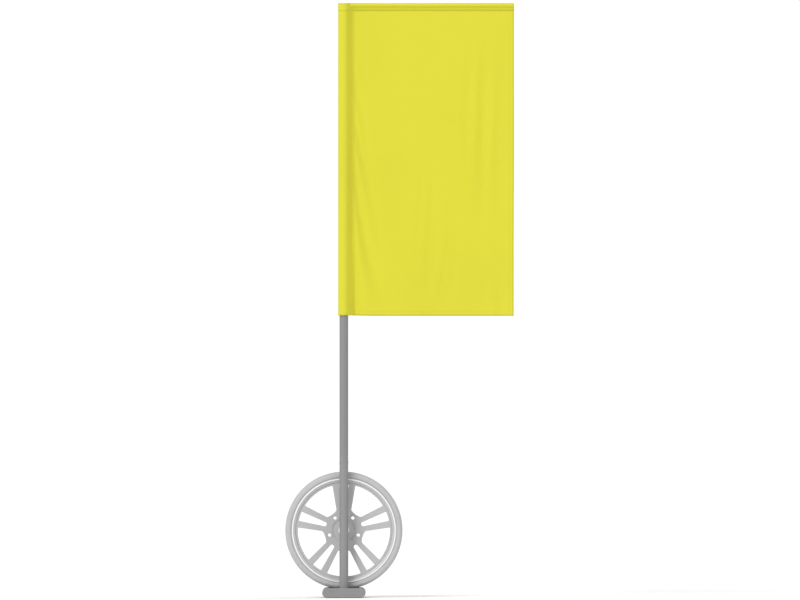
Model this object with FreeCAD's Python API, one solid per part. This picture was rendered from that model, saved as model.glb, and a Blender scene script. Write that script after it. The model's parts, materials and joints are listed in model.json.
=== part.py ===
"""Rectangular wind flag on a free-turning pole, standing on an oval foot that carries a ballast wheel.

Millimetres. +Z is up along the pole, +X runs along the flag, +Y points back from the pole to the wheel.
The origin is on the underside of the foot, on the pole's axis.
"""

import FreeCAD
import Part

import math
import os

Vector = FreeCAD.Vector
X_AXIS = Vector(1, 0, 0)
Y_AXIS = Vector(0, 1, 0)
Z_AXIS = Vector(0, 0, 1)

# ---------------------------------------------------------------- driving dimensions
FOOT_WIDTH = 222.0
FOOT_TOP = 50.0
FOOT_FRONT = -70.0
FOOT_BACK = 290.0
FOOT_WALL = 5.0
PAD_THICKNESS = 2.0

POLE_R = 22.5
POLE_BORE_R = 20.0
PLUG_R = 19.9
SPIGOT_BORE_R = 16.5

TYRE_R = 300.0
TYRE_HALF_WIDTH = 95.0
WHEEL_Y = 130.0
WHEEL_Z = 344.0
SPOKE_PAIRS = 5
LUG_CIRCLE_R = 78.0
LUG_HOLE_R = 8.5
BUSH_R = 28.0
AXLE_R = 15.0

MAST_TOP = 720.0
HOUSING_TOP = 905.0
LOWER_POLE_TOP = 1920.0
UPPER_POLE_TOP = 3003.0

FLAG_LEFT = -30.0
FLAG_RIGHT = 870.0
FLAG_BOTTOM = 1444.0
FLAG_TOP = 3042.0
CLOTH = 1.0
ARM_R = 8.0
HEM_R = 11.5

# ---------------------------------------------------------------- values that follow
STADIUM_R = (FOOT_TOP - PAD_THICKNESS) / 2
FOOT_MID_Z = PAD_THICKNESS + STADIUM_R
ARM_Z = FLAG_TOP - HEM_R
ARM_END = FLAG_RIGHT - 12.0
RUNNING = 0.05
GAP = 0.1
OVERCUT = 1.0
TINY = 1e-6
ORIGIN = Vector(0, 0, 0)


# ---------------------------------------------------------------- shape helpers
def cylinder(radius, start, length, axis=Z_AXIS):
    return Part.makeCylinder(radius, length, start, axis)


def cone(radius_a, radius_b, start, length, axis=Z_AXIS):
    return Part.makeCone(radius_a, radius_b, length, start, axis)


def tube(outer, inner, start, length, axis=Z_AXIS):
    return cylinder(outer, start, length, axis).cut(cylinder(inner, start, length, axis))


def box(low, high):
    size = high - low
    return Part.makeBox(size.x, size.y, size.z, low)


def fused(shapes):
    result = shapes[0]
    for other in shapes[1:]:
        result = result.fuse(other)
    return result.removeSplitter()


def around(shape, count, centre, axis, start_deg=0.0):
    """count copies of shape, turned evenly about an axis."""
    copies = []
    for index in range(count):
        copy = shape.copy()
        copy.rotate(centre, axis, start_deg + index * 360.0 / count)
        copies.append(copy)
    return copies


def turned(points, centre, axis):
    """A solid of revolution. Each point is (radius, distance along the axis)."""
    wire = Part.makePolygon([Vector(r, 0, a) for r, a in points + points[:1]])
    solid = Part.Face(wire).revolve(Vector(0, 0, 0), Z_AXIS, 360)
    solid.Placement = FreeCAD.Placement(centre, FreeCAD.Rotation(Z_AXIS, axis))
    return solid


def turned_wire(edges, centre):
    """A solid of revolution about the wheel's axis, from edges drawn as (radius, 0, distance)."""
    solid = Part.Face(Part.Wire(edges)).revolve(Vector(0, 0, 0), Z_AXIS, 360)
    solid.Placement = FreeCAD.Placement(centre, FreeCAD.Rotation(Z_AXIS, Y_AXIS))
    return solid


def rounded(shape, radius, chosen):
    """The shape with a fillet on each edge that chosen accepts."""
    edges = [edge for edge in shape.Edges if chosen(edge)]
    return shape.makeFillet(radius, edges)


def save(name, shapes):
    """Writes one node: a solid, or a group of separate solids."""
    group = shapes if isinstance(shapes, list) else [shapes]
    solids = [solid for shape in group for solid in shape.Solids]
    whole = solids[0] if len(solids) == 1 else Part.makeCompound(solids)
    if not whole.isValid() or any(solid.Volume <= 0 for solid in solids):
        raise ValueError(f"{name} is not a valid solid")
    whole.exportStep(f"parts/{name}.step")
    print(f"{name}: {len(solids)} solid(s), {whole.Volume / 1000:.1f} cm3")


# ---------------------------------------------------------------- foot
def oval(inset, front, back):
    """A bar of the foot's oval section, drawn in by inset, between two places along Y."""
    radius = STADIUM_R - inset
    straight = FOOT_WIDTH / 2 - STADIUM_R
    length = back - front
    middle = box(
        Vector(-straight, front, FOOT_MID_Z - radius),
        Vector(straight, back, FOOT_MID_Z + radius),
    )
    ends = [
        cylinder(radius, Vector(side * straight, front, FOOT_MID_Z), length, Y_AXIS)
        for side in (-1, 1)
    ]
    return fused([middle] + ends)


CAP_FACE = 6.0
CAP_SKIRT = 14.0
CAP_SKIRT_WALL = 2.9
CAP_EDGE_R = 2.5
SADDLE_R = TYRE_R + 0.5
SADDLE_SIDE_ROOM = 8.0
SADDLE_HALF = TYRE_HALF_WIDTH + SADDLE_SIDE_ROOM
MAST_HOLE_R = POLE_R + 0.2
PAD_HALF_WIDTH = 82.0
PAD_CORNER_R = 8.0
FRONT_PAD_Y = (-56.0, 40.0)
REAR_PAD_Y = (190.0, 274.0)
SHOE_R = 38.0
SHOE_TOP = 15.0
SHOE_SCREWS = 4
SCREW_CIRCLE_R = 29.0
SCREW_HEAD_R = 8.0
SCREW_HEAD_DEPTH = 4.0
SCREW_R = 4.0
SCREW_LENGTH = 11.5


def saddle(extra):
    """The cylinder that presses the tyre's seat into the top of the foot."""
    start = Vector(0, WHEEL_Y - SADDLE_HALF - extra, WHEEL_Z)
    return cylinder(SADDLE_R + extra, start, 2 * (SADDLE_HALF + extra), Y_AXIS)


def shoe_screws(extra):
    """The countersunk screws that come up through the foot into the mast shoe."""
    place = Vector(SCREW_CIRCLE_R, 0, PAD_THICKNESS)
    head = cone(SCREW_HEAD_R + extra, SCREW_R + extra, place, SCREW_HEAD_DEPTH)
    shank = cylinder(SCREW_R + extra, place, SCREW_LENGTH + extra)
    return around(fused([head, shank]), SHOE_SCREWS, ORIGIN, Z_AXIS, 180.0 / SHOE_SCREWS)


def end_cap(face_at, inward):
    """A moulded cap: a face with a rounded rim, and a skirt that plugs into the tube."""
    low, high = sorted((face_at, face_at + inward * CAP_FACE))
    face = rounded(
        oval(0, low, high),
        CAP_EDGE_R,
        lambda edge: all(abs(v.Y - face_at) < TINY for v in edge.Vertexes),
    )
    skirt_from = face_at + inward * CAP_FACE
    low, high = sorted((skirt_from, skirt_from + inward * CAP_SKIRT))
    skirt = oval(FOOT_WALL + GAP, low, high)
    hollow = oval(FOOT_WALL + GAP + CAP_SKIRT_WALL, low - OVERCUT, high + OVERCUT)
    return fused([face, skirt.cut(hollow)])


def sole_pad(front_edge, back_edge):
    pad = box(
        Vector(-PAD_HALF_WIDTH, front_edge, 0),
        Vector(PAD_HALF_WIDTH, back_edge, PAD_THICKNESS),
    )
    return rounded(pad, PAD_CORNER_R, is_upright)


def make_foot():
    front = FOOT_FRONT + CAP_FACE
    back = FOOT_BACK - CAP_FACE
    outer = oval(0, front, back).cut(saddle(0))
    inner = oval(FOOT_WALL, front - OVERCUT, back + OVERCUT).cut(saddle(FOOT_WALL))
    shell = outer.cut(inner)
    shell = shell.cut(cylinder(MAST_HOLE_R, Vector(0, 0, FOOT_MID_Z), FOOT_TOP))
    for hole in shoe_screws(GAP):
        shell = shell.cut(hole)
    save("foot_tube", shell)
    save("shoe_screws", shoe_screws(0))
    save("front_end_cap", end_cap(FOOT_FRONT, 1))
    save("rear_end_cap", end_cap(FOOT_BACK, -1))
    save("front_sole_pad", sole_pad(*FRONT_PAD_Y))
    save("rear_sole_pad", sole_pad(*REAR_PAD_Y))


def is_upright(edge):
    """True for a straight edge along Z."""
    if len(edge.Vertexes) != 2:
        return False
    first, last = edge.Vertexes
    return abs(first.X - last.X) < TINY and abs(first.Y - last.Y) < TINY


# ---------------------------------------------------------------- fixed mast
SHOE_SPIGOT_TOP = 110.0
SHOE_BORE_R = 14.0
CROSS_SCREW_Z = 78.0
CROSS_SCREW_R = 3.0
CROSS_SCREW_GRIP = 8.0
CROSS_HEAD_R = 5.5
CROSS_HEAD_TOP_R = 3.4
CROSS_HEAD_HEIGHT = 3.2
CROSS_SOCKET_R = 2.0
CROSS_SOCKET_FLOOR = 1.4
CROSS_SEAT_Y = POLE_R - 0.3


def cross_screw_head(extra):
    seat = Vector(0, CROSS_SEAT_Y, CROSS_SCREW_Z)
    return cone(CROSS_HEAD_R + extra, CROSS_HEAD_TOP_R + extra, seat, CROSS_HEAD_HEIGHT, Y_AXIS)


def cross_screw():
    """A button-head screw that enters the pole from behind."""
    seat = Vector(0, CROSS_SEAT_Y, CROSS_SCREW_Z)
    socket = cylinder(CROSS_SOCKET_R, seat + Y_AXIS * CROSS_SOCKET_FLOOR, CROSS_HEAD_HEIGHT, Y_AXIS)
    shank = cylinder(CROSS_SCREW_R, seat - Y_AXIS * CROSS_SCREW_GRIP, CROSS_SCREW_GRIP, Y_AXIS)
    return fused([cross_screw_head(0).cut(socket), shank])


def make_mast():
    floor_z = PAD_THICKNESS + FOOT_WALL
    flange = cylinder(SHOE_R, Vector(0, 0, floor_z), SHOE_TOP - floor_z)
    spigot = cylinder(PLUG_R, Vector(0, 0, SHOE_TOP), SHOE_SPIGOT_TOP - SHOE_TOP)
    shoe = fused([flange, spigot])
    shoe = shoe.cut(cylinder(SHOE_BORE_R, Vector(0, 0, SHOE_TOP), SHOE_SPIGOT_TOP))
    screw_hole = cylinder(CROSS_SCREW_R + GAP, Vector(0, 0, CROSS_SCREW_Z), 2 * POLE_R, Y_AXIS)
    shoe = shoe.cut(screw_hole)
    for hole in shoe_screws(GAP):
        shoe = shoe.cut(hole)
    save("mast_shoe", shoe)
    save("mast_cross_screw", cross_screw())

    mast = tube(POLE_R, POLE_BORE_R, Vector(0, 0, SHOE_TOP + GAP), MAST_TOP - SHOE_TOP - GAP)
    mast = mast.cut(screw_hole).cut(cross_screw_head(GAP))
    save("lower_mast", mast.cut(rivet_hole(PLUG_RIVET_Z)))


# ---------------------------------------------------------------- swivel
SPINDLE_R = 8.5
SPINDLE_SHOULDER_R = 11.0
BEARING_HEIGHT = 12.0
BEARING_PITCH_R = 14.25
INNER_RING_R = 11.4
OUTER_RING_R = 17.1
BALL_R = 3.35
BALL_COUNT = 8
CAGE_OUTER_R = 15.3
CAGE_INNER_R = 13.2
CAGE_HALF = 4.4
COLLAR_TOP = MAST_TOP + 4.0
HOUSING_BOTTOM = COLLAR_TOP + 0.6
LOWER_BEARING_Z = MAST_TOP + 17.0
UPPER_BEARING_Z = LOWER_BEARING_Z + 135.0
SPINDLE_TOP = UPPER_BEARING_Z + 26.0
SPIGOT_TOP = HOUSING_TOP + 120.0
HOUSING_SHOULDER_R = POLE_BORE_R + 1.0
PLUG_LENGTH = 80.0
PLUG_RIVET_Z = MAST_TOP - 30.0

SHAFT_CLIP_Z = UPPER_BEARING_Z + BEARING_HEIGHT + 0.25
SHAFT_CLIP_R = 11.5
SHAFT_CLIP_THICKNESS = 1.2
SHAFT_CLIP_GRIP = 0.7
SHAFT_CLIP_MOUTH = 4.4
BORE_CLIP_Z = LOWER_BEARING_Z - 1.8
BORE_CLIP_R = 21.0
BORE_CLIP_INNER_R = 17.2
BORE_CLIP_THICKNESS = 1.5
BORE_CLIP_MOUTH = 6.0
CLIP_ROOM = 0.1
SEAL_Z = HOUSING_BOTTOM + 0.6
SEAL_INNER_R = 15.5

RIVET_SHANK_R = 2.4
RIVET_HEAD_R = 4.6
RIVET_HEAD_TOP_R = 2.6
RIVET_HEAD_HEIGHT = 1.2
RIVET_INNER_END = 16.6
RIVET_SHANK_END = POLE_R + 0.2


def rivet_pair(height):
    """Two blind rivets through a pole wall, left and right."""
    pair = []
    for side in (-1, 1):
        axis = Vector(side, 0, 0)
        inner_end = axis * RIVET_INNER_END + Z_AXIS * height
        shank = cylinder(RIVET_SHANK_R, inner_end, RIVET_SHANK_END - RIVET_INNER_END, axis)
        seat = axis * (POLE_R + RUNNING) + Z_AXIS * height
        head = cone(RIVET_HEAD_R, RIVET_HEAD_TOP_R, seat, RIVET_HEAD_HEIGHT, axis)
        pair.append(fused([shank, head]))
    return pair


def rivet_hole(height):
    """The hole drilled right across the pole for a pair of rivets."""
    return cylinder(RIVET_SHANK_R + GAP, Vector(-2 * POLE_R, 0, height), 4 * POLE_R, X_AXIS)


def make_spindle():
    collar_height = COLLAR_TOP - MAST_TOP
    spindle = fused(
        [
            cylinder(PLUG_R, Vector(0, 0, MAST_TOP - PLUG_LENGTH), PLUG_LENGTH),
            cylinder(POLE_R, Vector(0, 0, MAST_TOP), collar_height),
            cylinder(SPINDLE_SHOULDER_R, Vector(0, 0, COLLAR_TOP), LOWER_BEARING_Z - COLLAR_TOP),
            cylinder(SPINDLE_R, Vector(0, 0, COLLAR_TOP), SPINDLE_TOP - COLLAR_TOP),
        ]
    )
    groove_r = SPINDLE_R - SHAFT_CLIP_GRIP - CLIP_ROOM
    groove_width = SHAFT_CLIP_THICKNESS + CLIP_ROOM
    groove_at = Vector(0, 0, SHAFT_CLIP_Z - CLIP_ROOM / 2)
    spindle = spindle.cut(tube(SPINDLE_R + OVERCUT, groove_r, groove_at, groove_width))
    save("swivel_spindle", spindle.cut(rivet_hole(PLUG_RIVET_Z)))
    save("spindle_plug_rivets", rivet_pair(PLUG_RIVET_Z))

    spacer_z = LOWER_BEARING_Z + BEARING_HEIGHT
    spacer_length = UPPER_BEARING_Z - spacer_z
    spacer_bore_r = SPINDLE_R + RUNNING
    spacer = tube(SPINDLE_SHOULDER_R, spacer_bore_r, Vector(0, 0, spacer_z), spacer_length)
    save("bearing_spacer", spacer)

    clip_bore_r = SPINDLE_R - SHAFT_CLIP_GRIP
    clip = tube(SHAFT_CLIP_R, clip_bore_r, Vector(0, 0, SHAFT_CLIP_Z), SHAFT_CLIP_THICKNESS)
    save("spindle_circlip", clip.cut(clip_mouth(SHAFT_CLIP_MOUTH, SHAFT_CLIP_Z)))


def clip_mouth(width, height):
    """The gap that opens a circlip at its back."""
    low = Vector(-width / 2, 0, height - OVERCUT)
    return box(low, Vector(width / 2, POLE_R, height + 2 * OVERCUT))


def make_housing():
    """The turning tube on the bearings, with the spigot that the pole slides over."""
    housing = tube(POLE_R, POLE_BORE_R, Vector(0, 0, HOUSING_BOTTOM), HOUSING_TOP - HOUSING_BOTTOM)
    shoulder_z = UPPER_BEARING_Z + BEARING_HEIGHT
    shoulder_height = HOUSING_TOP - shoulder_z
    shoulder = tube(HOUSING_SHOULDER_R, SPIGOT_BORE_R, Vector(0, 0, shoulder_z), shoulder_height)
    spigot_from = HOUSING_TOP - OVERCUT
    spigot = tube(PLUG_R, SPIGOT_BORE_R, Vector(0, 0, spigot_from), SPIGOT_TOP - spigot_from)
    housing = fused([housing, shoulder, spigot])
    housing = housing.cut(button_hole(BUTTON_R + GAP, LOWER_BUTTON_Z))
    groove_width = BORE_CLIP_THICKNESS + 2 * CLIP_ROOM
    groove_at = Vector(0, 0, BORE_CLIP_Z - CLIP_ROOM)
    housing = housing.cut(tube(BORE_CLIP_R + 2 * CLIP_ROOM, OUTER_RING_R, groove_at, groove_width))
    save("swivel_housing", housing)

    clip = tube(BORE_CLIP_R, BORE_CLIP_INNER_R, Vector(0, 0, BORE_CLIP_Z), BORE_CLIP_THICKNESS)
    save("housing_circlip", clip.cut(clip_mouth(BORE_CLIP_MOUTH, BORE_CLIP_Z)))

    lip_r = SPINDLE_SHOULDER_R + GAP
    seal = turned(
        [
            (PLUG_R, 0.0),
            (PLUG_R, 6.0),
            (SEAL_INNER_R, 6.0),
            (SEAL_INNER_R, 4.2),
            (lip_r, 2.4),
            (lip_r, 0.6),
            (SEAL_INNER_R, 1.6),
            (SEAL_INNER_R + 1.5, 0.0),
        ],
        Vector(0, 0, SEAL_Z),
        Z_AXIS,
    )
    save("dust_seal", seal)


def make_bearing(label, bottom):
    """A deep-groove ball bearing: two rings, a cage and its balls."""
    base = Vector(0, 0, bottom)
    middle = Vector(0, 0, bottom + BEARING_HEIGHT / 2)
    track = Part.makeTorus(BEARING_PITCH_R, BALL_R + GAP, middle, Z_AXIS)
    inner = tube(INNER_RING_R, SPINDLE_R + RUNNING / 2, base, BEARING_HEIGHT).cut(track)
    outer = tube(POLE_BORE_R - RUNNING / 2, OUTER_RING_R, base, BEARING_HEIGHT).cut(track)
    save(f"{label}_bearing_inner_ring", inner)
    save(f"{label}_bearing_outer_ring", outer)

    ball = Part.makeSphere(BALL_R, middle + X_AXIS * BEARING_PITCH_R)
    save(f"{label}_bearing_balls", around(ball, BALL_COUNT, base, Z_AXIS))
    cage = tube(CAGE_OUTER_R, CAGE_INNER_R, middle - Z_AXIS * CAGE_HALF, 2 * CAGE_HALF)
    pocket_from = middle + X_AXIS * SPINDLE_SHOULDER_R
    pocket = cylinder(BALL_R + GAP, pocket_from, OUTER_RING_R - SPINDLE_SHOULDER_R, X_AXIS)
    for hole in around(pocket, BALL_COUNT, base, Z_AXIS):
        cage = cage.cut(hole)
    save(f"{label}_bearing_cage", cage)


def make_swivel():
    make_spindle()
    make_housing()
    make_bearing("lower", LOWER_BEARING_Z)
    make_bearing("upper", UPPER_BEARING_Z)


# ---------------------------------------------------------------- pole
LOWER_BUTTON_Z = HOUSING_TOP + 80.0
UPPER_BUTTON_Z = LOWER_POLE_TOP + 40.0
FERRULE_BOTTOM = LOWER_POLE_TOP - 80.0
FERRULE_TOP = LOWER_POLE_TOP + 80.0
FERRULE_RIVET_Z = LOWER_POLE_TOP - 40.0
POLE_SEAM = 0.3

BUTTON_R = 4.0
BUTTON_POLE_ROOM = 0.25
BUTTON_BACK = 4.0
BUTTON_BORE_R = 2.9
DOME_CENTRE = 23.0
COLLAR_R = 5.4
COLLAR_STOP = 15.4
GUIDE_HALF = 9.0
GUIDE_FRONT = -9.0
GUIDE_BACK = 12.2
GUIDE_WELL_R = COLLAR_R + 0.2
SPRING_FLOOR = -6.0
SPRING_TOP = 9.0
SPRING_WIRE_R = 0.35
SPRING_COIL_R = 2.3
SPRING_TURNS = 7


def button_hole(radius, height):
    """The hole in a tube's back wall that a snap button comes out through."""
    return cylinder(radius, Vector(0, POLE_R / 2, height), POLE_R, Y_AXIS)


def make_button_guide(label, height):
    """A plug with a flat front and back, and the well that the button slides in."""
    plug_r = SPIGOT_BORE_R - GAP
    plug = cylinder(plug_r, Vector(0, 0, height - GUIDE_HALF), 2 * GUIDE_HALF)
    slab = box(
        Vector(-POLE_R, GUIDE_FRONT, height - 2 * GUIDE_HALF),
        Vector(POLE_R, GUIDE_BACK, height + 2 * GUIDE_HALF),
    )
    well = cylinder(GUIDE_WELL_R, Vector(0, SPRING_FLOOR, height), POLE_R, Y_AXIS)
    save(f"{label}_button_guide", plug.common(slab).cut(well))


def make_snap_button(label, height):
    """A sprung button that points back, and its spring."""
    back = Vector(0, BUTTON_BACK, height)
    stem = cylinder(BUTTON_R, back, DOME_CENTRE - BUTTON_BACK, Y_AXIS)
    dome = Part.makeSphere(BUTTON_R, Vector(0, DOME_CENTRE, height))
    collar = cylinder(COLLAR_R, back, COLLAR_STOP - BUTTON_BACK, Y_AXIS)
    hollow = cylinder(BUTTON_BORE_R, back, SPRING_TOP - BUTTON_BACK, Y_AXIS)
    save(f"{label}_snap_button", fused([stem, dome, collar]).cut(hollow))

    spring_from = SPRING_FLOOR + SPRING_WIRE_R + RUNNING
    spring_length = SPRING_TOP - SPRING_WIRE_R - RUNNING - spring_from
    coil = Part.makeHelix(spring_length / SPRING_TURNS, spring_length, SPRING_COIL_R)
    section = Part.Wire(Part.makeCircle(SPRING_WIRE_R, Vector(SPRING_COIL_R, 0, 0), Y_AXIS))
    spring = Part.Wire(coil).makePipeShell([section], True, True)
    turn = FreeCAD.Rotation(Z_AXIS, Y_AXIS)
    spring.Placement = FreeCAD.Placement(Vector(0, spring_from, height), turn)
    save(f"{label}_button_spring", spring)


def pole_section(bottom, top, button_z):
    """A length of pole, a hair above what it stands on, with the hole for its snap button."""
    start = bottom + POLE_SEAM
    section = tube(POLE_R, POLE_BORE_R, Vector(0, 0, start), top - start)
    return section.cut(button_hole(BUTTON_R + BUTTON_POLE_ROOM, button_z))


def make_pole():
    lower = pole_section(HOUSING_TOP, LOWER_POLE_TOP, LOWER_BUTTON_Z)
    save("lower_pole", lower.cut(rivet_hole(FERRULE_RIVET_Z)))

    ferrule = tube(PLUG_R, SPIGOT_BORE_R, Vector(0, 0, FERRULE_BOTTOM), FERRULE_TOP - FERRULE_BOTTOM)
    ferrule = ferrule.cut(button_hole(BUTTON_R + GAP, UPPER_BUTTON_Z))
    save("pole_ferrule", ferrule.cut(rivet_hole(FERRULE_RIVET_Z)))
    save("ferrule_rivets", rivet_pair(FERRULE_RIVET_Z))

    upper = pole_section(LOWER_POLE_TOP, UPPER_POLE_TOP, UPPER_BUTTON_Z)
    save("upper_pole", upper.cut(rivet_hole(CORNER_RIVET_Z)))

    for label, height in (("lower", LOWER_BUTTON_Z), ("upper", UPPER_BUTTON_Z)):
        make_button_guide(label, height)
        make_snap_button(label, height)


# ---------------------------------------------------------------- top corner and arm
CORNER_TOP = FLAG_TOP - CLOTH - 0.6
CORNER_BOTTOM = UPPER_POLE_TOP + 0.2
CORNER_EDGE_R = 1.8
CORNER_PLUG_LENGTH = 50.0
CORNER_NECK = 4.0
CORNER_RIVET_Z = UPPER_POLE_TOP - 25.0
ARM_BORE_R = 6.5
ARM_SPIGOT_R = 6.4
ARM_SPIGOT_X = (10.0, 72.0)
ARM_SOCKET_X = 16.0
ARM_FROM = ARM_SOCKET_X + 0.2
ARM_RIVET_X = 50.0
ARM_RIVET_R = 1.6
ARM_RIVET_LENGTH = 7.0
ARM_RIVET_HEAD = (1.9, 2.6, 0.9)
ARM_CAP_LENGTH = 8.0
ARM_CAP_EDGE_R = 4.0
ARM_CAP_GRIP = 18.0


def make_corner():
    """The moulded corner: a plug for the pole's end, a head, and a spigot for the arm."""
    plug_bottom = Vector(0, 0, UPPER_POLE_TOP - CORNER_PLUG_LENGTH)
    plug = tube(PLUG_R, SPIGOT_BORE_R, plug_bottom, CORNER_PLUG_LENGTH)
    head = cylinder(POLE_R, Vector(0, 0, CORNER_BOTTOM), CORNER_TOP - CORNER_BOTTOM)
    top_rim = CORNER_TOP - TINY
    head = rounded(head, CORNER_EDGE_R, lambda edge: edge.BoundBox.ZMin > top_rim)
    neck = cylinder(PLUG_R, Vector(0, 0, UPPER_POLE_TOP - CORNER_NECK), 3 * CORNER_NECK)
    spigot_from, spigot_to = ARM_SPIGOT_X
    spigot = cylinder(ARM_SPIGOT_R, Vector(spigot_from, 0, ARM_Z), spigot_to - spigot_from, X_AXIS)
    socket = cylinder(ARM_R + GAP, Vector(ARM_SOCKET_X, 0, ARM_Z), POLE_R, X_AXIS)
    corner = fused([plug, neck, head.cut(socket), spigot])
    corner = corner.cut(rivet_hole(CORNER_RIVET_Z))
    save("top_corner", corner.cut(arm_rivet_hole()))
    save("corner_rivets", rivet_pair(CORNER_RIVET_Z))


def arm_rivet_hole():
    return cylinder(ARM_RIVET_R + GAP, Vector(ARM_RIVET_X, 0, ARM_Z - 2 * ARM_R), 4 * ARM_R)


def make_arm():
    arm = tube(ARM_R, ARM_BORE_R, Vector(ARM_FROM, 0, ARM_Z), ARM_END - ARM_FROM, X_AXIS)
    save("top_arm", arm.cut(arm_rivet_hole()))
    shank_from = Vector(ARM_RIVET_X, 0, ARM_Z - ARM_R - GAP * 2)
    shank = cylinder(ARM_RIVET_R, shank_from, ARM_RIVET_LENGTH)
    low_r, high_r, height = ARM_RIVET_HEAD
    head = cone(low_r, high_r, Vector(ARM_RIVET_X, 0, ARM_Z - ARM_R - GAP - height), height)
    save("arm_rivet", fused([shank, head]))

    tip_x = ARM_END + GAP + ARM_CAP_LENGTH
    tip = cylinder(ARM_R, Vector(ARM_END + GAP, 0, ARM_Z), ARM_CAP_LENGTH, X_AXIS)
    tip = rounded(tip, ARM_CAP_EDGE_R, lambda edge: edge.BoundBox.XMin > tip_x - OVERCUT)
    stem_from = Vector(ARM_END - ARM_CAP_GRIP, 0, ARM_Z)
    stem = cylinder(ARM_SPIGOT_R, stem_from, ARM_CAP_GRIP + 2 * OVERCUT, X_AXIS)
    save("arm_end_cap", fused([tip, stem]))


# ---------------------------------------------------------------- flag
def make_flag():
    height = FLAG_TOP - FLAG_BOTTOM
    sleeve_r = -FLAG_LEFT
    sleeve = cylinder(sleeve_r, Vector(0, 0, FLAG_BOTTOM), height)
    panel = box(
        Vector(0, -CLOTH / 2, FLAG_BOTTOM),
        Vector(FLAG_RIGHT, CLOTH / 2, ARM_Z),
    )
    hem = cylinder(HEM_R, Vector(0, 0, ARM_Z), FLAG_RIGHT, X_AXIS)
    inside_from = Vector(0, 0, FLAG_BOTTOM - OVERCUT)
    inside_sleeve = cylinder(sleeve_r - CLOTH, inside_from, height + OVERCUT - CLOTH)
    inside_hem = cylinder(HEM_R - CLOTH, Vector(0, 0, ARM_Z), FLAG_RIGHT - CLOTH, X_AXIS)
    cloth = sleeve.fuse(panel).fuse(hem).cut(inside_sleeve).cut(inside_hem)
    save("flag", cloth.removeSplitter())


# ---------------------------------------------------------------- wheel
FLANGE_R = 269.5
LIP_INNER_R = 258.6
WINDOW_R = 236.0
FACE_R = 248.0
BEAD_SEAT_R = 256.0
WHEEL_CENTRE = Vector(0, WHEEL_Y, WHEEL_Z)
GROOVE_DEPTH = 6.0
GROOVE_WIDTH = 9.0
GROOVES_AT = (-51.0, -18.0, 18.0, 51.0)
RIM_HALF_WIDTH = 93.0
RIM_EDGE_R = 1.2
INNER_CROWN_R = TYRE_R - 10.0
BACK_BORE_R = LIP_INNER_R - 9.0
BACK_BORE_Y = (58.0, 85.0)


def line(a, b):
    return Part.LineSegment(Vector(a[0], 0, a[1]), Vector(b[0], 0, b[1])).toShape()


def arc(a, through, b):
    points = [Vector(p[0], 0, p[1]) for p in (a, through, b)]
    return Part.Arc(*points).toShape()


def tyre_side(sign):
    """One half of the casing's section, from the bead to the crown and back inside."""
    toe = (BEAD_SEAT_R + GAP, sign * 66.0)
    heel = (BEAD_SEAT_R + GAP, sign * 82.5)
    hook = (FLANGE_R, sign * 83.5)
    low_wall = (275.0, sign * 91.5)
    bulge = (283.0, sign * TYRE_HALF_WIDTH)
    high_wall = (290.5, sign * 92.5)
    shoulder = (296.0, sign * 87.0)
    edge_of_tread = (299.0, sign * 79.0)
    crown = (TYRE_R, sign * 70.0)
    inner_toe = (266.0, sign * 68.0)
    inner_wall = (282.0, sign * 84.0)
    inner_crown = (INNER_CROWN_R, sign * 68.0)
    edges = [
        line(toe, heel),
        line(heel, hook),
        arc(hook, low_wall, bulge),
        arc(bulge, high_wall, shoulder),
        arc(shoulder, edge_of_tread, crown),
        line(toe, inner_toe),
        line(inner_toe, inner_wall),
        line(inner_wall, inner_crown),
    ]
    return edges, crown, inner_crown


def make_tyre():
    """A low sidewall tyre: the casing's section, turned, with grooves round the tread."""
    front, front_crown, front_inner = tyre_side(-1)
    back, back_crown, back_inner = tyre_side(1)
    across = [line(front_crown, back_crown), line(front_inner, back_inner)]
    tyre = turned_wire(Part.__sortEdges__(front + back + across), WHEEL_CENTRE)
    for place in GROOVES_AT:
        start = WHEEL_CENTRE + Y_AXIS * (place - GROOVE_WIDTH / 2)
        ring = tube(TYRE_R + OVERCUT, TYRE_R - GROOVE_DEPTH, start, GROOVE_WIDTH, Y_AXIS)
        tyre = tyre.cut(ring)
    save("tyre", tyre)


SLOPE_OUTER = ((BEAD_SEAT_R, -62.0), (243.0, -44.0))
SLOPE_RUN = SLOPE_OUTER[1][1] - SLOPE_OUTER[0][1]
SLOPE_DROP = SLOPE_OUTER[0][0] - SLOPE_OUTER[1][0]
WELL_INNER_R = 236.0
SLOPE_INNER_Y = -60.0
WELL_EDGE_Y = SLOPE_INNER_Y + (FACE_R - WELL_INNER_R) * SLOPE_RUN / SLOPE_DROP


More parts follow.
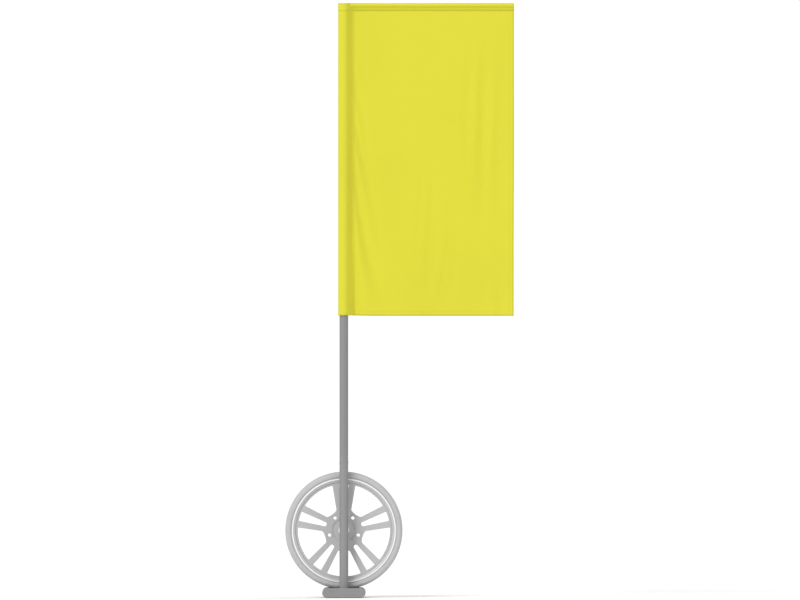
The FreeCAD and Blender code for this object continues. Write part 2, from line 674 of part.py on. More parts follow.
def make_barrel():
    """The rim: two flanges, two bead seats and a drop centre, all one thin wall."""
    outer = [
        (LIP_INNER_R, -RIM_HALF_WIDTH),
        (FLANGE_R - 3.0, -RIM_HALF_WIDTH),
        (FLANGE_R, -90.5),
        (FLANGE_R, -87.0),
        (FLANGE_R - 4.0, -84.0),
        (BEAD_SEAT_R, -83.0),
        SLOPE_OUTER[0],
        SLOPE_OUTER[1],
        (243.0, 12.0),
        (BEAD_SEAT_R, 58.0),
        (BEAD_SEAT_R, 83.0),
        (FLANGE_R - 4.0, 84.0),
        (FLANGE_R, 87.0),
        (FLANGE_R, 90.5),
        (FLANGE_R - 3.0, RIM_HALF_WIDTH),
        (LIP_INNER_R, RIM_HALF_WIDTH),
    ]
    inner = [
        (BACK_BORE_R, BACK_BORE_Y[1]),
        (BACK_BORE_R, BACK_BORE_Y[0]),
        (WELL_INNER_R, 14.0),
        (WELL_INNER_R, WELL_EDGE_Y),
        (FACE_R, SLOPE_INNER_Y),
        (FACE_R, -88.0),
        (LIP_INNER_R - 4.0, -90.0),
    ]
    barrel = turned(outer + inner, WHEEL_CENTRE, Y_AXIS)
    barrel = rounded(
        barrel,
        RIM_EDGE_R,
        lambda edge: abs(abs(edge.BoundBox.Center.y - WHEEL_Y) - RIM_HALF_WIDTH) < TINY,
    )
    save("rim_barrel", barrel.cut(valve_hole_shape()))


VALVE_Y = -54.0
VALVE_OUTER_R = BEAD_SEAT_R - (VALVE_Y - SLOPE_OUTER[0][1]) * SLOPE_DROP / SLOPE_RUN
VALVE_INNER_R = FACE_R - (VALVE_Y - SLOPE_INNER_Y) * SLOPE_DROP / SLOPE_RUN
VALVE_SEAT = Vector(0, VALVE_Y, (VALVE_OUTER_R + VALVE_INNER_R) / 2)
VALVE_TILT_DEG = math.degrees(math.atan2(SLOPE_RUN, SLOPE_DROP))
VALVE_R = 5.7
VALVE_TUBE_R = 2.6
VALVE_GRIP = 2.9
VALVE_FLANGE = -6.5
VALVE_BODY_END = 20.0
VALVE_HEAD_FROM = 20.2
VALVE_HEAD_R = 3.6
VALVE_END = 30.0


def valve_place(shape):
    """Puts a shape drawn along +Z at the valve hole in the barrel's front slope, leaning in."""
    moved = shape.copy()
    turn = FreeCAD.Rotation(X_AXIS, 90 + VALVE_TILT_DEG)
    moved.Placement = FreeCAD.Placement(WHEEL_CENTRE + VALVE_SEAT, turn)
    return moved


def valve_hole_shape():
    reach = 4 * VALVE_GRIP
    return valve_place(cylinder(VALVE_R + GAP, Vector(0, 0, -reach), 2 * reach))


def make_valve():
    """A snap-in valve: rubber body, brass tube and cap, pointing forward out of the barrel."""
    body = turned(
        [
            (VALVE_TUBE_R + GAP, VALVE_FLANGE),
            (8.5, VALVE_FLANGE),
            (8.5, -VALVE_GRIP),
            (VALVE_R, -VALVE_GRIP),
            (VALVE_R, VALVE_GRIP),
            (7.2, VALVE_GRIP + 1.0),
            (5.6, 8.0),
            (4.6, VALVE_BODY_END),
            (VALVE_TUBE_R + GAP, VALVE_BODY_END),
        ],
        ORIGIN,
        Z_AXIS,
    )
    tube_length = VALVE_HEAD_FROM - VALVE_FLANGE
    head_length = VALVE_END - VALVE_HEAD_FROM
    stem = fused(
        [
            cylinder(VALVE_TUBE_R, Vector(0, 0, VALVE_FLANGE), tube_length),
            cylinder(VALVE_HEAD_R, Vector(0, 0, VALVE_HEAD_FROM), head_length),
        ]
    )
    cap_bore_r = VALVE_HEAD_R + GAP
    cap = turned(
        [
            (cap_bore_r, 21.0),
            (5.0, 21.0),
            (5.0, 31.0),
            (3.6, 33.0),
            (0.0, 33.0),
            (0.0, VALVE_END + GAP),
            (cap_bore_r, VALVE_END + GAP),
        ],
        ORIGIN,
        Z_AXIS,
    )
    for name, shape in (("valve_body", body), ("valve_stem", stem), ("valve_cap", cap)):
        save(name, valve_place(shape))


SLOT_HALF_TAN = math.tan(math.radians(6.0))
SLOT_INNER = 94.0
SLOT_END_R = 8.0
WINDOW_END = 101.0
WINDOW_END_R = 12.0
OUTER_CORNER_R = 4.5
PAIR_SIDE_NEAR = (37.0, 100.0)
PAIR_SIDE_FAR = (59.5, 235.0)
PAIR_SIDE_RISE = (PAIR_SIDE_FAR[0] - PAIR_SIDE_NEAR[0]) / (PAIR_SIDE_FAR[1] - PAIR_SIDE_NEAR[1])
WINDOW_SIDE_FROM = 103.0
PAST_RING = WINDOW_R + 40.0
CUT_FRONT = -100.0
CUT_BACK = 0.0


def through_cut(edges):
    """A prism along the axle, right through the face, from edges drawn as (x, 0, z)."""
    solid = Part.Face(Part.Wire(edges)).extrude(Vector(0, CUT_BACK - CUT_FRONT, 0))
    solid.translate(WHEEL_CENTRE + Y_AXIS * CUT_FRONT)
    ring = cylinder(WINDOW_R, WHEEL_CENTRE + Y_AXIS * CUT_FRONT, CUT_BACK - CUT_FRONT, Y_AXIS)
    return solid.common(ring)


def along_y(edge):
    """True for a straight edge along Y."""
    if len(edge.Vertexes) != 2:
        return False
    first, last = edge.Vertexes
    return abs(first.X - last.X) < TINY and abs(first.Z - last.Z) < TINY


def with_round_corners(cut, inner_r, outer_r):
    """Rounds a cut's corners, by one radius near the hub and by another at the ring."""

    def reach(edge):
        corner = edge.Vertexes[0]
        return math.hypot(corner.X, corner.Z - WHEEL_Z)

    halfway = (WINDOW_END + WINDOW_R) / 2
    cut = rounded(cut, inner_r, lambda edge: along_y(edge) and reach(edge) < halfway)
    return rounded(cut, outer_r, lambda edge: along_y(edge) and reach(edge) > halfway)


def pair_side(length, side, turn_deg):
    """A point on a spoke pair's outer side, for the pair turned by turn_deg, as (x, z)."""
    across = side * (PAIR_SIDE_NEAR[0] + PAIR_SIDE_RISE * (length - PAIR_SIDE_NEAR[1]))
    cosine = math.cos(math.radians(turn_deg))
    sine = math.sin(math.radians(turn_deg))
    return (across * cosine + length * sine, length * cosine - across * sine)


def spoke_slot():
    """The tapered slot that splits one pair of spokes."""
    near = SLOT_INNER * SLOT_HALF_TAN
    far = PAST_RING * SLOT_HALF_TAN
    corners = [(-near, SLOT_INNER), (near, SLOT_INNER), (far, PAST_RING), (-far, PAST_RING)]
    edges = [line(a, b) for a, b in zip(corners, corners[1:] + corners[:1])]
    return with_round_corners(through_cut(edges), SLOT_END_R, OUTER_CORNER_R)


def spoke_window():
    """The window between two pairs of spokes. Its inner end bows towards the hub."""
    step = 360.0 / SPOKE_PAIRS
    half_step = math.radians(step / 2)
    near_a = pair_side(WINDOW_SIDE_FROM, 1, 0)
    near_b = pair_side(WINDOW_SIDE_FROM, -1, step)
    far_a = pair_side(PAST_RING, 1, 0)
    far_b = pair_side(PAST_RING, -1, step)
    end = (WINDOW_END * math.sin(half_step), WINDOW_END * math.cos(half_step))
    edges = [arc(near_a, end, near_b), line(near_b, far_b), line(far_b, far_a), line(far_a, near_a)]
    return with_round_corners(through_cut(edges), WINDOW_END_R, OUTER_CORNER_R)


def spoke_openings():
    """The five slots that split the spoke pairs, and the five windows between the pairs."""
    slots = around(spoke_slot(), SPOKE_PAIRS, WHEEL_CENTRE, Y_AXIS)
    return slots + around(spoke_window(), SPOKE_PAIRS, WHEEL_CENTRE, Y_AXIS)


HUB_FRONT = -62.0
HUB_BACK = -28.0
LUG_SEAT_R = 10.5
LUG_SEAT_DEPTH = 2.0
BUSH_FLANGE_R = 34.0
BUSH_FLANGE = 4.0
WEIGHT_TURNS_DEG = (150.0, 157.5, 165.0)
WEIGHT_OUTER_R = BACK_BORE_R - GAP
WEIGHT_THICKNESS = 3.9
WEIGHT_Y = (BACK_BORE_Y[0] + 4.0, BACK_BORE_Y[1] - 3.0)
WEIGHT_HALF_LENGTH = 13.0
FACE_PROFILE = [
    (BUSH_R, HUB_FRONT),
    (52.0, HUB_FRONT),
    (64.0, -66.0),
    (104.0, -70.0),
    (180.0, -79.0),
    (WINDOW_R, -84.0),
    (FACE_R - GAP, -84.0),
    (FACE_R - GAP, -72.0),
    (WINDOW_R, -70.0),
    (180.0, -54.0),
    (104.0, -40.0),
    (92.0, HUB_BACK),
    (BUSH_R, HUB_BACK),
]
HUB_BACK_Y = WHEEL_Y + HUB_BACK
HUB_FRONT_Y = WHEEL_Y + HUB_FRONT


def make_face():
    """The cast face: hub pad, five pairs of spokes and the outer ring."""
    face = turned(FACE_PROFILE, WHEEL_CENTRE, Y_AXIS)
    for opening in spoke_openings():
        face = face.cut(opening)
    pad_front = pad_front_at(LUG_CIRCLE_R)
    seat_place = WHEEL_CENTRE + Vector(0, pad_front, LUG_CIRCLE_R)
    hole = fused(
        [
            cylinder(LUG_HOLE_R, seat_place - Y_AXIS * LUG_SEAT_R, -pad_front, Y_AXIS),
            cone(LUG_SEAT_R, LUG_HOLE_R, seat_place, LUG_SEAT_DEPTH, Y_AXIS),
            cylinder(LUG_SEAT_R, seat_place - Y_AXIS * LUG_SEAT_R, LUG_SEAT_R, Y_AXIS),
        ]
    )
    for bolt_hole in around(hole, SPOKE_PAIRS, WHEEL_CENTRE, Y_AXIS, 180.0 / SPOKE_PAIRS):
        face = face.cut(bolt_hole)
    save("spoke_face", face)


def pad_front_at(radius):
    """How far forward the face's front lies at a radius between 64 and 104."""
    (near_r, near_y), (far_r, far_y) = FACE_PROFILE[2], FACE_PROFILE[3]
    return near_y + (far_y - near_y) * (radius - near_r) / (far_r - near_r)


def make_hub_bush():
    hub_front = Vector(0, HUB_FRONT_Y, WHEEL_Z)
    hub_back = Vector(0, HUB_BACK_Y, WHEEL_Z)
    sleeve = cylinder(BUSH_R - RUNNING / 2, hub_front, HUB_BACK_Y - HUB_FRONT_Y, Y_AXIS)
    flange = cylinder(BUSH_FLANGE_R, hub_back, BUSH_FLANGE, Y_AXIS)
    bore = cylinder(AXLE_R + RUNNING, hub_front - Y_AXIS * OVERCUT, WHEEL_Y, Y_AXIS)
    save("hub_bush", fused([sleeve, flange]).cut(bore))


def make_balance_weights():
    """Three stick-on weights inside the barrel, near its back edge."""
    start_y, end_y = WEIGHT_Y
    weight = tube(
        WEIGHT_OUTER_R,
        WEIGHT_OUTER_R - WEIGHT_THICKNESS,
        WHEEL_CENTRE + Y_AXIS * start_y,
        end_y - start_y,
        Y_AXIS,
    )
    block = box(
        Vector(-WEIGHT_HALF_LENGTH, start_y, WEIGHT_OUTER_R / 2),
        Vector(WEIGHT_HALF_LENGTH, end_y, WEIGHT_OUTER_R),
    )
    block.translate(WHEEL_CENTRE)
    weight = weight.common(block)
    weights = []
    for turn in WEIGHT_TURNS_DEG:
        copy = weight.copy()
        copy.rotate(WHEEL_CENTRE, Y_AXIS, turn)
        weights.append(copy)
    save("balance_weights", weights)


# ---------------------------------------------------------------- axle and clamp
AXLE_SHOULDER_Y = HUB_FRONT_Y - 0.5
AXLE_COLLAR = 8.0
AXLE_COLLAR_R = 21.0
AXLE_END_CHAMFER = 1.5
THREAD_R = 12.0
THREAD_ROOM = 0.15
THREAD_FROM = HUB_BACK_Y + 3.0
THREAD_END = HUB_BACK_Y + 40.0
WASHER_FRONT = HUB_BACK_Y + 4.3
WASHER_THICKNESS = 4.0
WASHER_R = 32.0
WASHER_BORE_R = THREAD_R + 0.4
WASHER_CHAMFER = 0.8
KNOB_FRONT = WASHER_FRONT + WASHER_THICKNESS + 0.2
KNOB_LENGTH = 42.0
KNOB_R = 38.0
KNOB_LOBES = 6
KNOB_SCALLOP_R = 17.0
KNOB_SCALLOP_FROM_AXIS = KNOB_R + 8.0
KNOB_EDGE_R = 3.0
KNOB_BOSS_R = 24.0
KNOB_STAND_OFF = 4.0
INSERT_R = 17.0
INSERT_LENGTH = 30.0
KNOB_BORE_DEPTH = INSERT_LENGTH + 6.0


def make_axle():
    collar_at = Vector(0, AXLE_SHOULDER_Y - AXLE_COLLAR, WHEEL_Z)
    thread_at = Vector(0, THREAD_FROM, WHEEL_Z)
    axle = fused(
        [
            cylinder(AXLE_R, Vector(0, 0, WHEEL_Z), THREAD_FROM, Y_AXIS),
            cylinder(AXLE_COLLAR_R, collar_at, AXLE_COLLAR, Y_AXIS),
            cylinder(THREAD_R, thread_at, THREAD_END - THREAD_FROM, Y_AXIS),
        ]
    )
    axle = axle.cut(cylinder(POLE_R, Vector(0, 0, WHEEL_Z - 2 * POLE_R), 4 * POLE_R))
    tip = [edge for edge in axle.Edges if edge.BoundBox.YMin > THREAD_END - TINY]
    save("stub_axle", axle.makeChamfer(AXLE_END_CHAMFER, tip))


def make_washer():
    washer = tube(
        WASHER_R, WASHER_BORE_R, Vector(0, WASHER_FRONT, WHEEL_Z), WASHER_THICKNESS, Y_AXIS
    )
    rims = [edge for edge in washer.Edges if edge.BoundBox.ZLength > WASHER_R]
    save("clamp_washer", washer.makeChamfer(WASHER_CHAMFER, rims))


def make_knob():
    """The star knob, and the threaded insert moulded into its bore."""
    front = Vector(0, KNOB_FRONT, WHEEL_Z)
    insert = tube(INSERT_R, THREAD_R + THREAD_ROOM, front, INSERT_LENGTH, Y_AXIS)
    save("knob_insert", insert)

    body_at = front + Y_AXIS * KNOB_STAND_OFF
    body = cylinder(KNOB_R, body_at, KNOB_LENGTH - KNOB_STAND_OFF, Y_AXIS)
    scallop_at = front + Z_AXIS * KNOB_SCALLOP_FROM_AXIS
    scallop = cylinder(KNOB_SCALLOP_R, scallop_at, KNOB_LENGTH, Y_AXIS)
    for cut in around(scallop, KNOB_LOBES, front, Y_AXIS):
        body = body.cut(cut)
    back = KNOB_FRONT + KNOB_LENGTH
    body = rounded(body, KNOB_EDGE_R, lambda edge: edge.BoundBox.YMin > back - TINY)
    boss = cylinder(KNOB_BOSS_R, front, KNOB_LENGTH - KNOB_EDGE_R, Y_AXIS)
    bore = cylinder(INSERT_R + GAP, front, KNOB_BORE_DEPTH, Y_AXIS)
    save("star_knob", fused([body, boss]).cut(bore))


# ---------------------------------------------------------------- everything
os.makedirs("parts", exist_ok=True)
make_foot()
make_mast()
make_swivel()
make_pole()
make_corner()
make_arm()
make_flag()
make_tyre()
make_barrel()
make_valve()
make_face()
make_hub_bush()
make_balance_weights()
make_axle()
make_washer()
make_knob()
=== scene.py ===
"""The looks of the wind flag on its free-turning pole, with the oval foot and its ballast wheel.

Metres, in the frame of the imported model: +Z up along the pole, +X along the flag, +Y back to the wheel.
"""

import json
import math
import random

import bmesh
import bpy
import numpy as np
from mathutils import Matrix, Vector, noise


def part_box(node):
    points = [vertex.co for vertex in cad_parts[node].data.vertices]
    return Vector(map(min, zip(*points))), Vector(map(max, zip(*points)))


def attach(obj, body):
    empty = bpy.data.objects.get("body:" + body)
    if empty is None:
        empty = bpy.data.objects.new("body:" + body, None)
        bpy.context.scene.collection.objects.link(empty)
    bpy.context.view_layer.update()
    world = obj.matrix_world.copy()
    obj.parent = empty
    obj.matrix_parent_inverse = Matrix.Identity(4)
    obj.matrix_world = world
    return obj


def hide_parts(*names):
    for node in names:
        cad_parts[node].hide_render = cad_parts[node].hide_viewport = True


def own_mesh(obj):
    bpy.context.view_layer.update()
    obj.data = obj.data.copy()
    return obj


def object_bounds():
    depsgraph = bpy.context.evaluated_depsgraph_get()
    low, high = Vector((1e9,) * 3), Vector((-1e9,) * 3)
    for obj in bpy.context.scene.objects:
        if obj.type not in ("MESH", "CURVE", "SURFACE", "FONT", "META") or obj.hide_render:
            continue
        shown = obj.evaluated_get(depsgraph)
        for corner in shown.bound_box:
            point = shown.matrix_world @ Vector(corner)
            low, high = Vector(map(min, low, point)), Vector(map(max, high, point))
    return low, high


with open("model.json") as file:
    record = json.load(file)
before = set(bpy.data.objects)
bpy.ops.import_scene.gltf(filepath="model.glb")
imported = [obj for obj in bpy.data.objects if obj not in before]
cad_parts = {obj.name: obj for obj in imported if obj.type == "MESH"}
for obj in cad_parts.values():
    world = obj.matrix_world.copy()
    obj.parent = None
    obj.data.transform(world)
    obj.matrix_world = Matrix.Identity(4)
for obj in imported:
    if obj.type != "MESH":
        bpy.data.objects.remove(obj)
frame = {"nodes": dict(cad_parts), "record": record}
cad_low, cad_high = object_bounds()
nodes = frame["nodes"]


# ---------------------------------------------------------------- places, from the frame
flag_low, flag_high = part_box("flag")
tyre_low, tyre_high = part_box("tyre")
barrel_low, barrel_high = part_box("rim_barrel")
pole_low, pole_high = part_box("upper_pole")
arm_low, arm_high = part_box("top_arm")

WHEEL = (tyre_low + tyre_high) / 2
TYRE_R = (tyre_high.z - tyre_low.z) / 2
TYRE_HALF = (tyre_high.y - tyre_low.y) / 2
FLANGE_R = (barrel_high.x - barrel_low.x) / 2
POLE_R = (pole_high.x - pole_low.x) / 2
SLEEVE_R = -flag_low.x
ARM_Z = (arm_low.z + arm_high.z) / 2
HEM_R = flag_high.z - ARM_Z
FLAG_RIGHT = flag_high.x
FLAG_BOTTOM = flag_low.z
FLAG_TOP = flag_high.z


# ---------------------------------------------------------------- colours
def srgb(red, green, blue, light=1.0):
    """The base colour that shows as these 8-bit sRGB values under a given amount of light."""

    def channel(value):
        share = value / 255
        linear = share / 12.92 if share <= 0.04045 else ((share + 0.055) / 1.055) ** 2.4
        return linear / light

    return (channel(red), channel(green), channel(blue), 1.0)


def shaded(colour, share):
    """The colour made lighter or darker by a share."""
    return tuple(min(1.0, part * share) for part in colour[:3]) + (1.0,)


FLAG_YELLOW = srgb(225, 220, 56, light=1.28)
POLE_GREY = srgb(148, 148, 148, light=1.42)
FOOT_GREY = srgb(149, 149, 149, light=1.37)
SPOKE_GREY = srgb(186, 186, 186, light=1.24)
# The rim's grey is the spokes' grey made lighter: painted light that evens out the shade in the rim's
# recess.
RIM_GREY_WITH_PAINTED_LIGHT = srgb(186, 186, 186, light=1.12)
RUBBER_GREY = srgb(186, 186, 186, light=1.16)
LIP_WHITE = srgb(244, 244, 244, light=1.22)
NYLON_WHITE = srgb(248, 248, 246, light=1.15)
SOLE_BLACK = srgb(52, 52, 54)
FLOOR_WHITE = (0.9, 0.9, 0.9, 1.0)


# ---------------------------------------------------------------- materials
WEAR_TURN = (0.03, 0.25)
WEAR_SCALE = 60.0
WEAR_PATCHES = (0.48, 0.62)


class Finish:
    """A Principled material, and the few node steps that every finish here is made of."""

    def __init__(self, name, colour, roughness, metallic=0.0):
        self.material = bpy.data.materials.new(name)
        self.material.use_nodes = True
        self.tree = self.material.node_tree
        self.shader = self.tree.nodes["Principled BSDF"]
        self.shader.inputs["Base Color"].default_value = colour
        self.shader.inputs["Roughness"].default_value = roughness
        self.shader.inputs["Metallic"].default_value = metallic
        self.material.diffuse_color = colour
        self.place = self.node("ShaderNodeTexCoord").outputs["Object"]
        self.colour = colour
        self.colour_from = None
        self.normal_from = None

    def node(self, kind, **settings):
        made = self.tree.nodes.new(kind)
        for name, value in settings.items():
            setattr(made, name, value)
        return made

    def link(self, source, target):
        self.tree.links.new(source, target)

    def put(self, node, socket, value):
        """Feeds a socket with a number or with another node's output."""
        target = node.inputs[socket]
        if isinstance(value, bpy.types.NodeSocket):
            self.link(value, target)
        else:
            target.default_value = value

    def math(self, operation, first, second=0.0, third=0.0):
        made = self.node("ShaderNodeMath", operation=operation)
        for socket, value in enumerate((first, second, third)):
            self.put(made, socket, value)
        return made.outputs[0]

    def stretched(self, scale, centre=(0, 0, 0)):
        """Object coordinates about a centre, scaled along each axis."""
        mapping = self.node("ShaderNodeMapping", vector_type="TEXTURE")
        self.link(self.place, mapping.inputs["Vector"])
        mapping.inputs["Location"].default_value = centre
        mapping.inputs["Scale"].default_value = [1 / part for part in scale]
        return mapping.outputs["Vector"]

    def axis(self, index, centre=(0, 0, 0)):
        """One object coordinate, measured from a centre."""
        split = self.node("ShaderNodeSeparateXYZ")
        self.link(self.stretched((1, 1, 1), centre), split.inputs[0])
        return split.outputs[index]

    def noise(self, scale, detail=3.0, stretch=(1, 1, 1), roughness=0.5):
        made = self.node("ShaderNodeTexNoise")
        self.link(self.stretched(stretch), made.inputs["Vector"])
        made.inputs["Scale"].default_value = scale
        made.inputs["Detail"].default_value = detail
        made.inputs["Roughness"].default_value = roughness
        return made.outputs["Fac"]

    def ramp(self, value, low, high):
        """0 below low and 1 above high, smooth between."""
        made = self.node("ShaderNodeMapRange", interpolation_type="SMOOTHSTEP")
        self.link(value, made.inputs["Value"])
        made.inputs["From Min"].default_value = low
        made.inputs["From Max"].default_value = high
        return made.outputs["Result"]

    def tint(self, amount, colour):
        """Paints another colour over what is there, by an amount from 0 to 1."""
        mix = self.node("ShaderNodeMix", data_type="RGBA")
        self.link(amount, mix.inputs["Factor"])
        if self.colour_from is None:
            mix.inputs[6].default_value = self.colour
        else:
            self.link(self.colour_from, mix.inputs[6])
        mix.inputs[7].default_value = colour
        self.colour_from = mix.outputs[2]
        self.link(self.colour_from, self.shader.inputs["Base Color"])

    def rough(self, value, low, high):
        """Roughness that runs from low to high with a value."""
        made = self.node("ShaderNodeMapRange")
        self.link(value, made.inputs["Value"])
        made.inputs["To Min"].default_value = low
        made.inputs["To Max"].default_value = high
        self.link(made.outputs["Result"], self.shader.inputs["Roughness"])

    def bump(self, height, distance, strength=1.0):
        """Adds relief, in metres, on top of any relief there already."""
        made = self.node("ShaderNodeBump")
        made.inputs["Strength"].default_value = strength
        made.inputs["Distance"].default_value = distance
        self.link(height, made.inputs["Height"])
        if self.normal_from is not None:
            self.link(self.normal_from, made.inputs["Normal"])
        self.normal_from = made.outputs["Normal"]
        self.link(self.normal_from, self.shader.inputs["Normal"])

    def cloud(self, scale, detail, low, high, shade, roughness=0.5):
        """Patches of noise in which the colour is lighter or darker by a share."""
        amount = self.ramp(self.noise(scale, detail, roughness=roughness), low, high)
        self.tint(amount, shaded(self.colour, shade))

    def grain(self, scale, detail, depth, strength, stretch=(1, 1, 1)):
        """Relief, in metres, that follows noise."""
        self.bump(self.noise(scale, detail, stretch), depth, strength)

    def gloss(self, scale, detail, low, high):
        """Roughness that wanders with noise between low and high."""
        self.rough(self.noise(scale, detail), low, high)

    def round_edges(self, radius, worn_colour, wear):
        """Softens edges to a radius, and wears their tops through to another colour, unevenly."""
        rounded = self.node("ShaderNodeBevel", samples=4)
        rounded.inputs["Radius"].default_value = radius
        facing = self.node("ShaderNodeVectorMath", operation="DOT_PRODUCT")
        self.link(rounded.outputs["Normal"], facing.inputs[0])
        self.link(self.node("ShaderNodeNewGeometry").outputs["Normal"], facing.inputs[1])
        turned = self.math("SUBTRACT", 1.0, facing.outputs["Value"])
        edge = self.ramp(turned, *WEAR_TURN)
        patchy = self.ramp(self.noise(WEAR_SCALE, 5.0, roughness=0.7), *WEAR_PATCHES)
        self.tint(self.math("MULTIPLY", self.math("MULTIPLY", edge, patchy), wear), worn_colour)
        self.normal_from = rounded.outputs["Normal"]


THREAD_PITCH = 0.0011
EDGE_WEAR = 0.5
DUST_REACH = 0.16
DUST_AMOUNT = 0.12
PAINT_EDGE_R = 0.0012
PLASTIC_EDGE_R = 0.0008
CAST_EDGE_R = 0.0025
DUST = srgb(196, 190, 178, light=1.3)
BARE_METAL_EDGE = srgb(214, 214, 214, light=1.3)


def cloth_finish():
    """Knitted polyester: crossed threads, a soft sheen, and faint cloudiness from wear and dust."""
    made = Finish("flag_cloth", FLAG_YELLOW, 0.78)
    made.shader.inputs["Sheen Weight"].default_value = 0.05
    made.shader.inputs["Sheen Roughness"].default_value = 0.4
    made.shader.inputs["Specular IOR Level"].default_value = 0.25
    threads = []
    for index in (0, 2):
        turns = made.math("MULTIPLY", made.axis(index), 2 * math.pi / THREAD_PITCH)
        threads.append(made.math("SINE", turns))
    weave = made.math("MULTIPLY", threads[0], threads[1])
    slub = made.noise(260.0, 2.0, stretch=(0.15, 1, 1))
    made.bump(weave, 0.00018, 0.5)
    made.bump(slub, 0.00012, 0.35)
    made.cloud(scale=1.6, detail=3.0, low=0.42, high=0.78, shade=0.955)
    made.tint(made.ramp(weave, 0.2, 1.0), shaded(FLAG_YELLOW, 0.975))
    made.rough(slub, 0.7, 0.86)
    return made.material


def thread_finish():
    """The sewing thread: a shade deeper than the cloth, with a twist."""
    made = Finish("flag_thread", shaded(FLAG_YELLOW, 0.82), 0.6)
    made.grain(scale=2400.0, detail=1.0, depth=0.0001, strength=0.4)
    made.tint(made.ramp(made.noise(700.0, 1.0), 0.4, 0.7), shaded(FLAG_YELLOW, 0.92))
    return made.material


def powder_coat():
    """Powder coat: orange peel, mottling, worn edges, and dust towards the ground."""
    made = Finish("foot_paint", FOOT_GREY, 0.42)
    made.round_edges(PAINT_EDGE_R, BARE_METAL_EDGE, EDGE_WEAR)
    made.grain(scale=620.0, detail=2.0, depth=0.00016, strength=0.35)
    made.cloud(scale=5.0, detail=4.0, low=0.45, high=0.8, shade=0.95)
    made.cloud(scale=48.0, detail=6.0, low=0.66, high=0.74, shade=1.09, roughness=0.7)
    low_down = made.math("SUBTRACT", 1.0, made.ramp(made.axis(2), 0.0, DUST_REACH))
    patchy = made.ramp(made.noise(30.0, 4.0), 0.35, 0.65)
    made.tint(made.math("MULTIPLY", made.math("MULTIPLY", low_down, patchy), DUST_AMOUNT), DUST)
    made.gloss(scale=24.0, detail=4.0, low=0.36, high=0.52)
    return made.material


def tube_coat():
    """Coated aluminium tube: fine lines drawn along its length, and small rubbed marks."""
    made = Finish("pole_coat", POLE_GREY, 0.38)
    made.round_edges(PAINT_EDGE_R, BARE_METAL_EDGE, EDGE_WEAR)
    made.shader.inputs["Specular IOR Level"].default_value = 0.45
    drawn = made.noise(900.0, 2.0, stretch=(1, 1, 0.012))
    made.bump(drawn, 0.00006, 0.3)
    made.tint(made.ramp(drawn, 0.35, 0.75), shaded(POLE_GREY, 0.96))
    made.cloud(scale=70.0, detail=6.0, low=0.68, high=0.76, shade=1.1, roughness=0.72)
    made.gloss(scale=18.0, detail=5.0, low=0.32, high=0.5)
    return made.material


def tyre_finish():
    """Pale grey rubber: fine grain, cloudy bloom, and dust in patches."""
    made = Finish("tyre_rubber", RUBBER_GREY, 0.82)
    made.shader.inputs["Specular IOR Level"].default_value = 0.3
    made.grain(scale=1500.0, detail=2.0, depth=0.00012, strength=0.4)
    made.cloud(scale=9.0, detail=5.0, low=0.42, high=0.78, shade=0.94)
    made.cloud(scale=130.0, detail=3.0, low=0.62, high=0.74, shade=1.05, roughness=0.7)
    made.gloss(scale=60.0, detail=3.0, low=0.74, high=0.9)
    return made.material


def wheel_lacquer(name, colour):
    """Silver-grey lacquer over a casting, with flake in it and rubbed edges."""
    made = Finish(name, colour, 0.34)
    made.shader.inputs["Coat Weight"].default_value = 0.3
    made.shader.inputs["Coat Roughness"].default_value = 0.12
    made.round_edges(CAST_EDGE_R, shaded(colour, 1.12), EDGE_WEAR)
    made.grain(scale=420.0, detail=3.0, depth=0.00012, strength=0.3)
    made.cloud(scale=2600.0, detail=1.0, low=0.6, high=0.72, shade=1.07)
    made.cloud(scale=7.0, detail=4.0, low=0.45, high=0.8, shade=0.95)
    made.gloss(scale=35.0, detail=4.0, low=0.28, high=0.42)
    return made


LIP_BAND = (FLANGE_R - 0.0097, FLANGE_R - 0.0036)
LIP_BLUR = 0.0006
LATHE_PITCH = 0.0005


def rim_finish():
    """The rim in the wheel's lacquer, made lighter than on the spokes as painted light against the shade
    in its recess, with a bright band turned on its lip by a lathe.
    """
    made = wheel_lacquer("rim_paint_with_painted_light", RIM_GREY_WITH_PAINTED_LIGHT)
    across = made.axis(0, WHEEL)
    upward = made.axis(2, WHEEL)
    square = made.math("MULTIPLY_ADD", across, across, made.math("MULTIPLY", upward, upward))
    radius = made.math("SQRT", square)
    inner, outer = LIP_BAND
    beyond_inner = made.ramp(radius, inner - LIP_BLUR / 2, inner + LIP_BLUR / 2)
    beyond_outer = made.ramp(radius, outer - LIP_BLUR / 2, outer + LIP_BLUR / 2)
    band = made.math("SUBTRACT", beyond_inner, beyond_outer)
    rings = made.math("SINE", made.math("MULTIPLY", radius, 2 * math.pi / LATHE_PITCH))
    made.bump(made.math("MULTIPLY", rings, band), 0.00002, 0.3)
    made.tint(band, LIP_WHITE)
    return made.material


def moulded(name, colour, grain_scale=900.0):
    """Moulded plastic or rubber: a fine spark-eroded grain and slight gloss patches."""
    made = Finish(name, colour, 0.5)
    made.round_edges(PLASTIC_EDGE_R, shaded(colour, 1.15), EDGE_WEAR)
    made.grain(scale=grain_scale, detail=2.0, depth=0.00014, strength=0.4)
    made.cloud(scale=22.0, detail=4.0, low=0.42, high=0.8, shade=0.94)
    made.gloss(scale=50.0, detail=3.0, low=0.42, high=0.6)
    return made.material


def metal(name, colour, roughness):
    """Turned or drawn bare metal: fine scratches, and cloudy patches in the gloss."""
    made = Finish(name, colour, roughness, 1.0)
    made.grain(scale=1400.0, detail=2.0, depth=0.00005, strength=0.35, stretch=(1, 0.08, 1))
    made.cloud(scale=45.0, detail=5.0, low=0.45, high=0.75, shade=0.88)
    made.gloss(scale=90.0, detail=4.0, low=roughness * 0.75, high=roughness * 1.3)
    return made.material


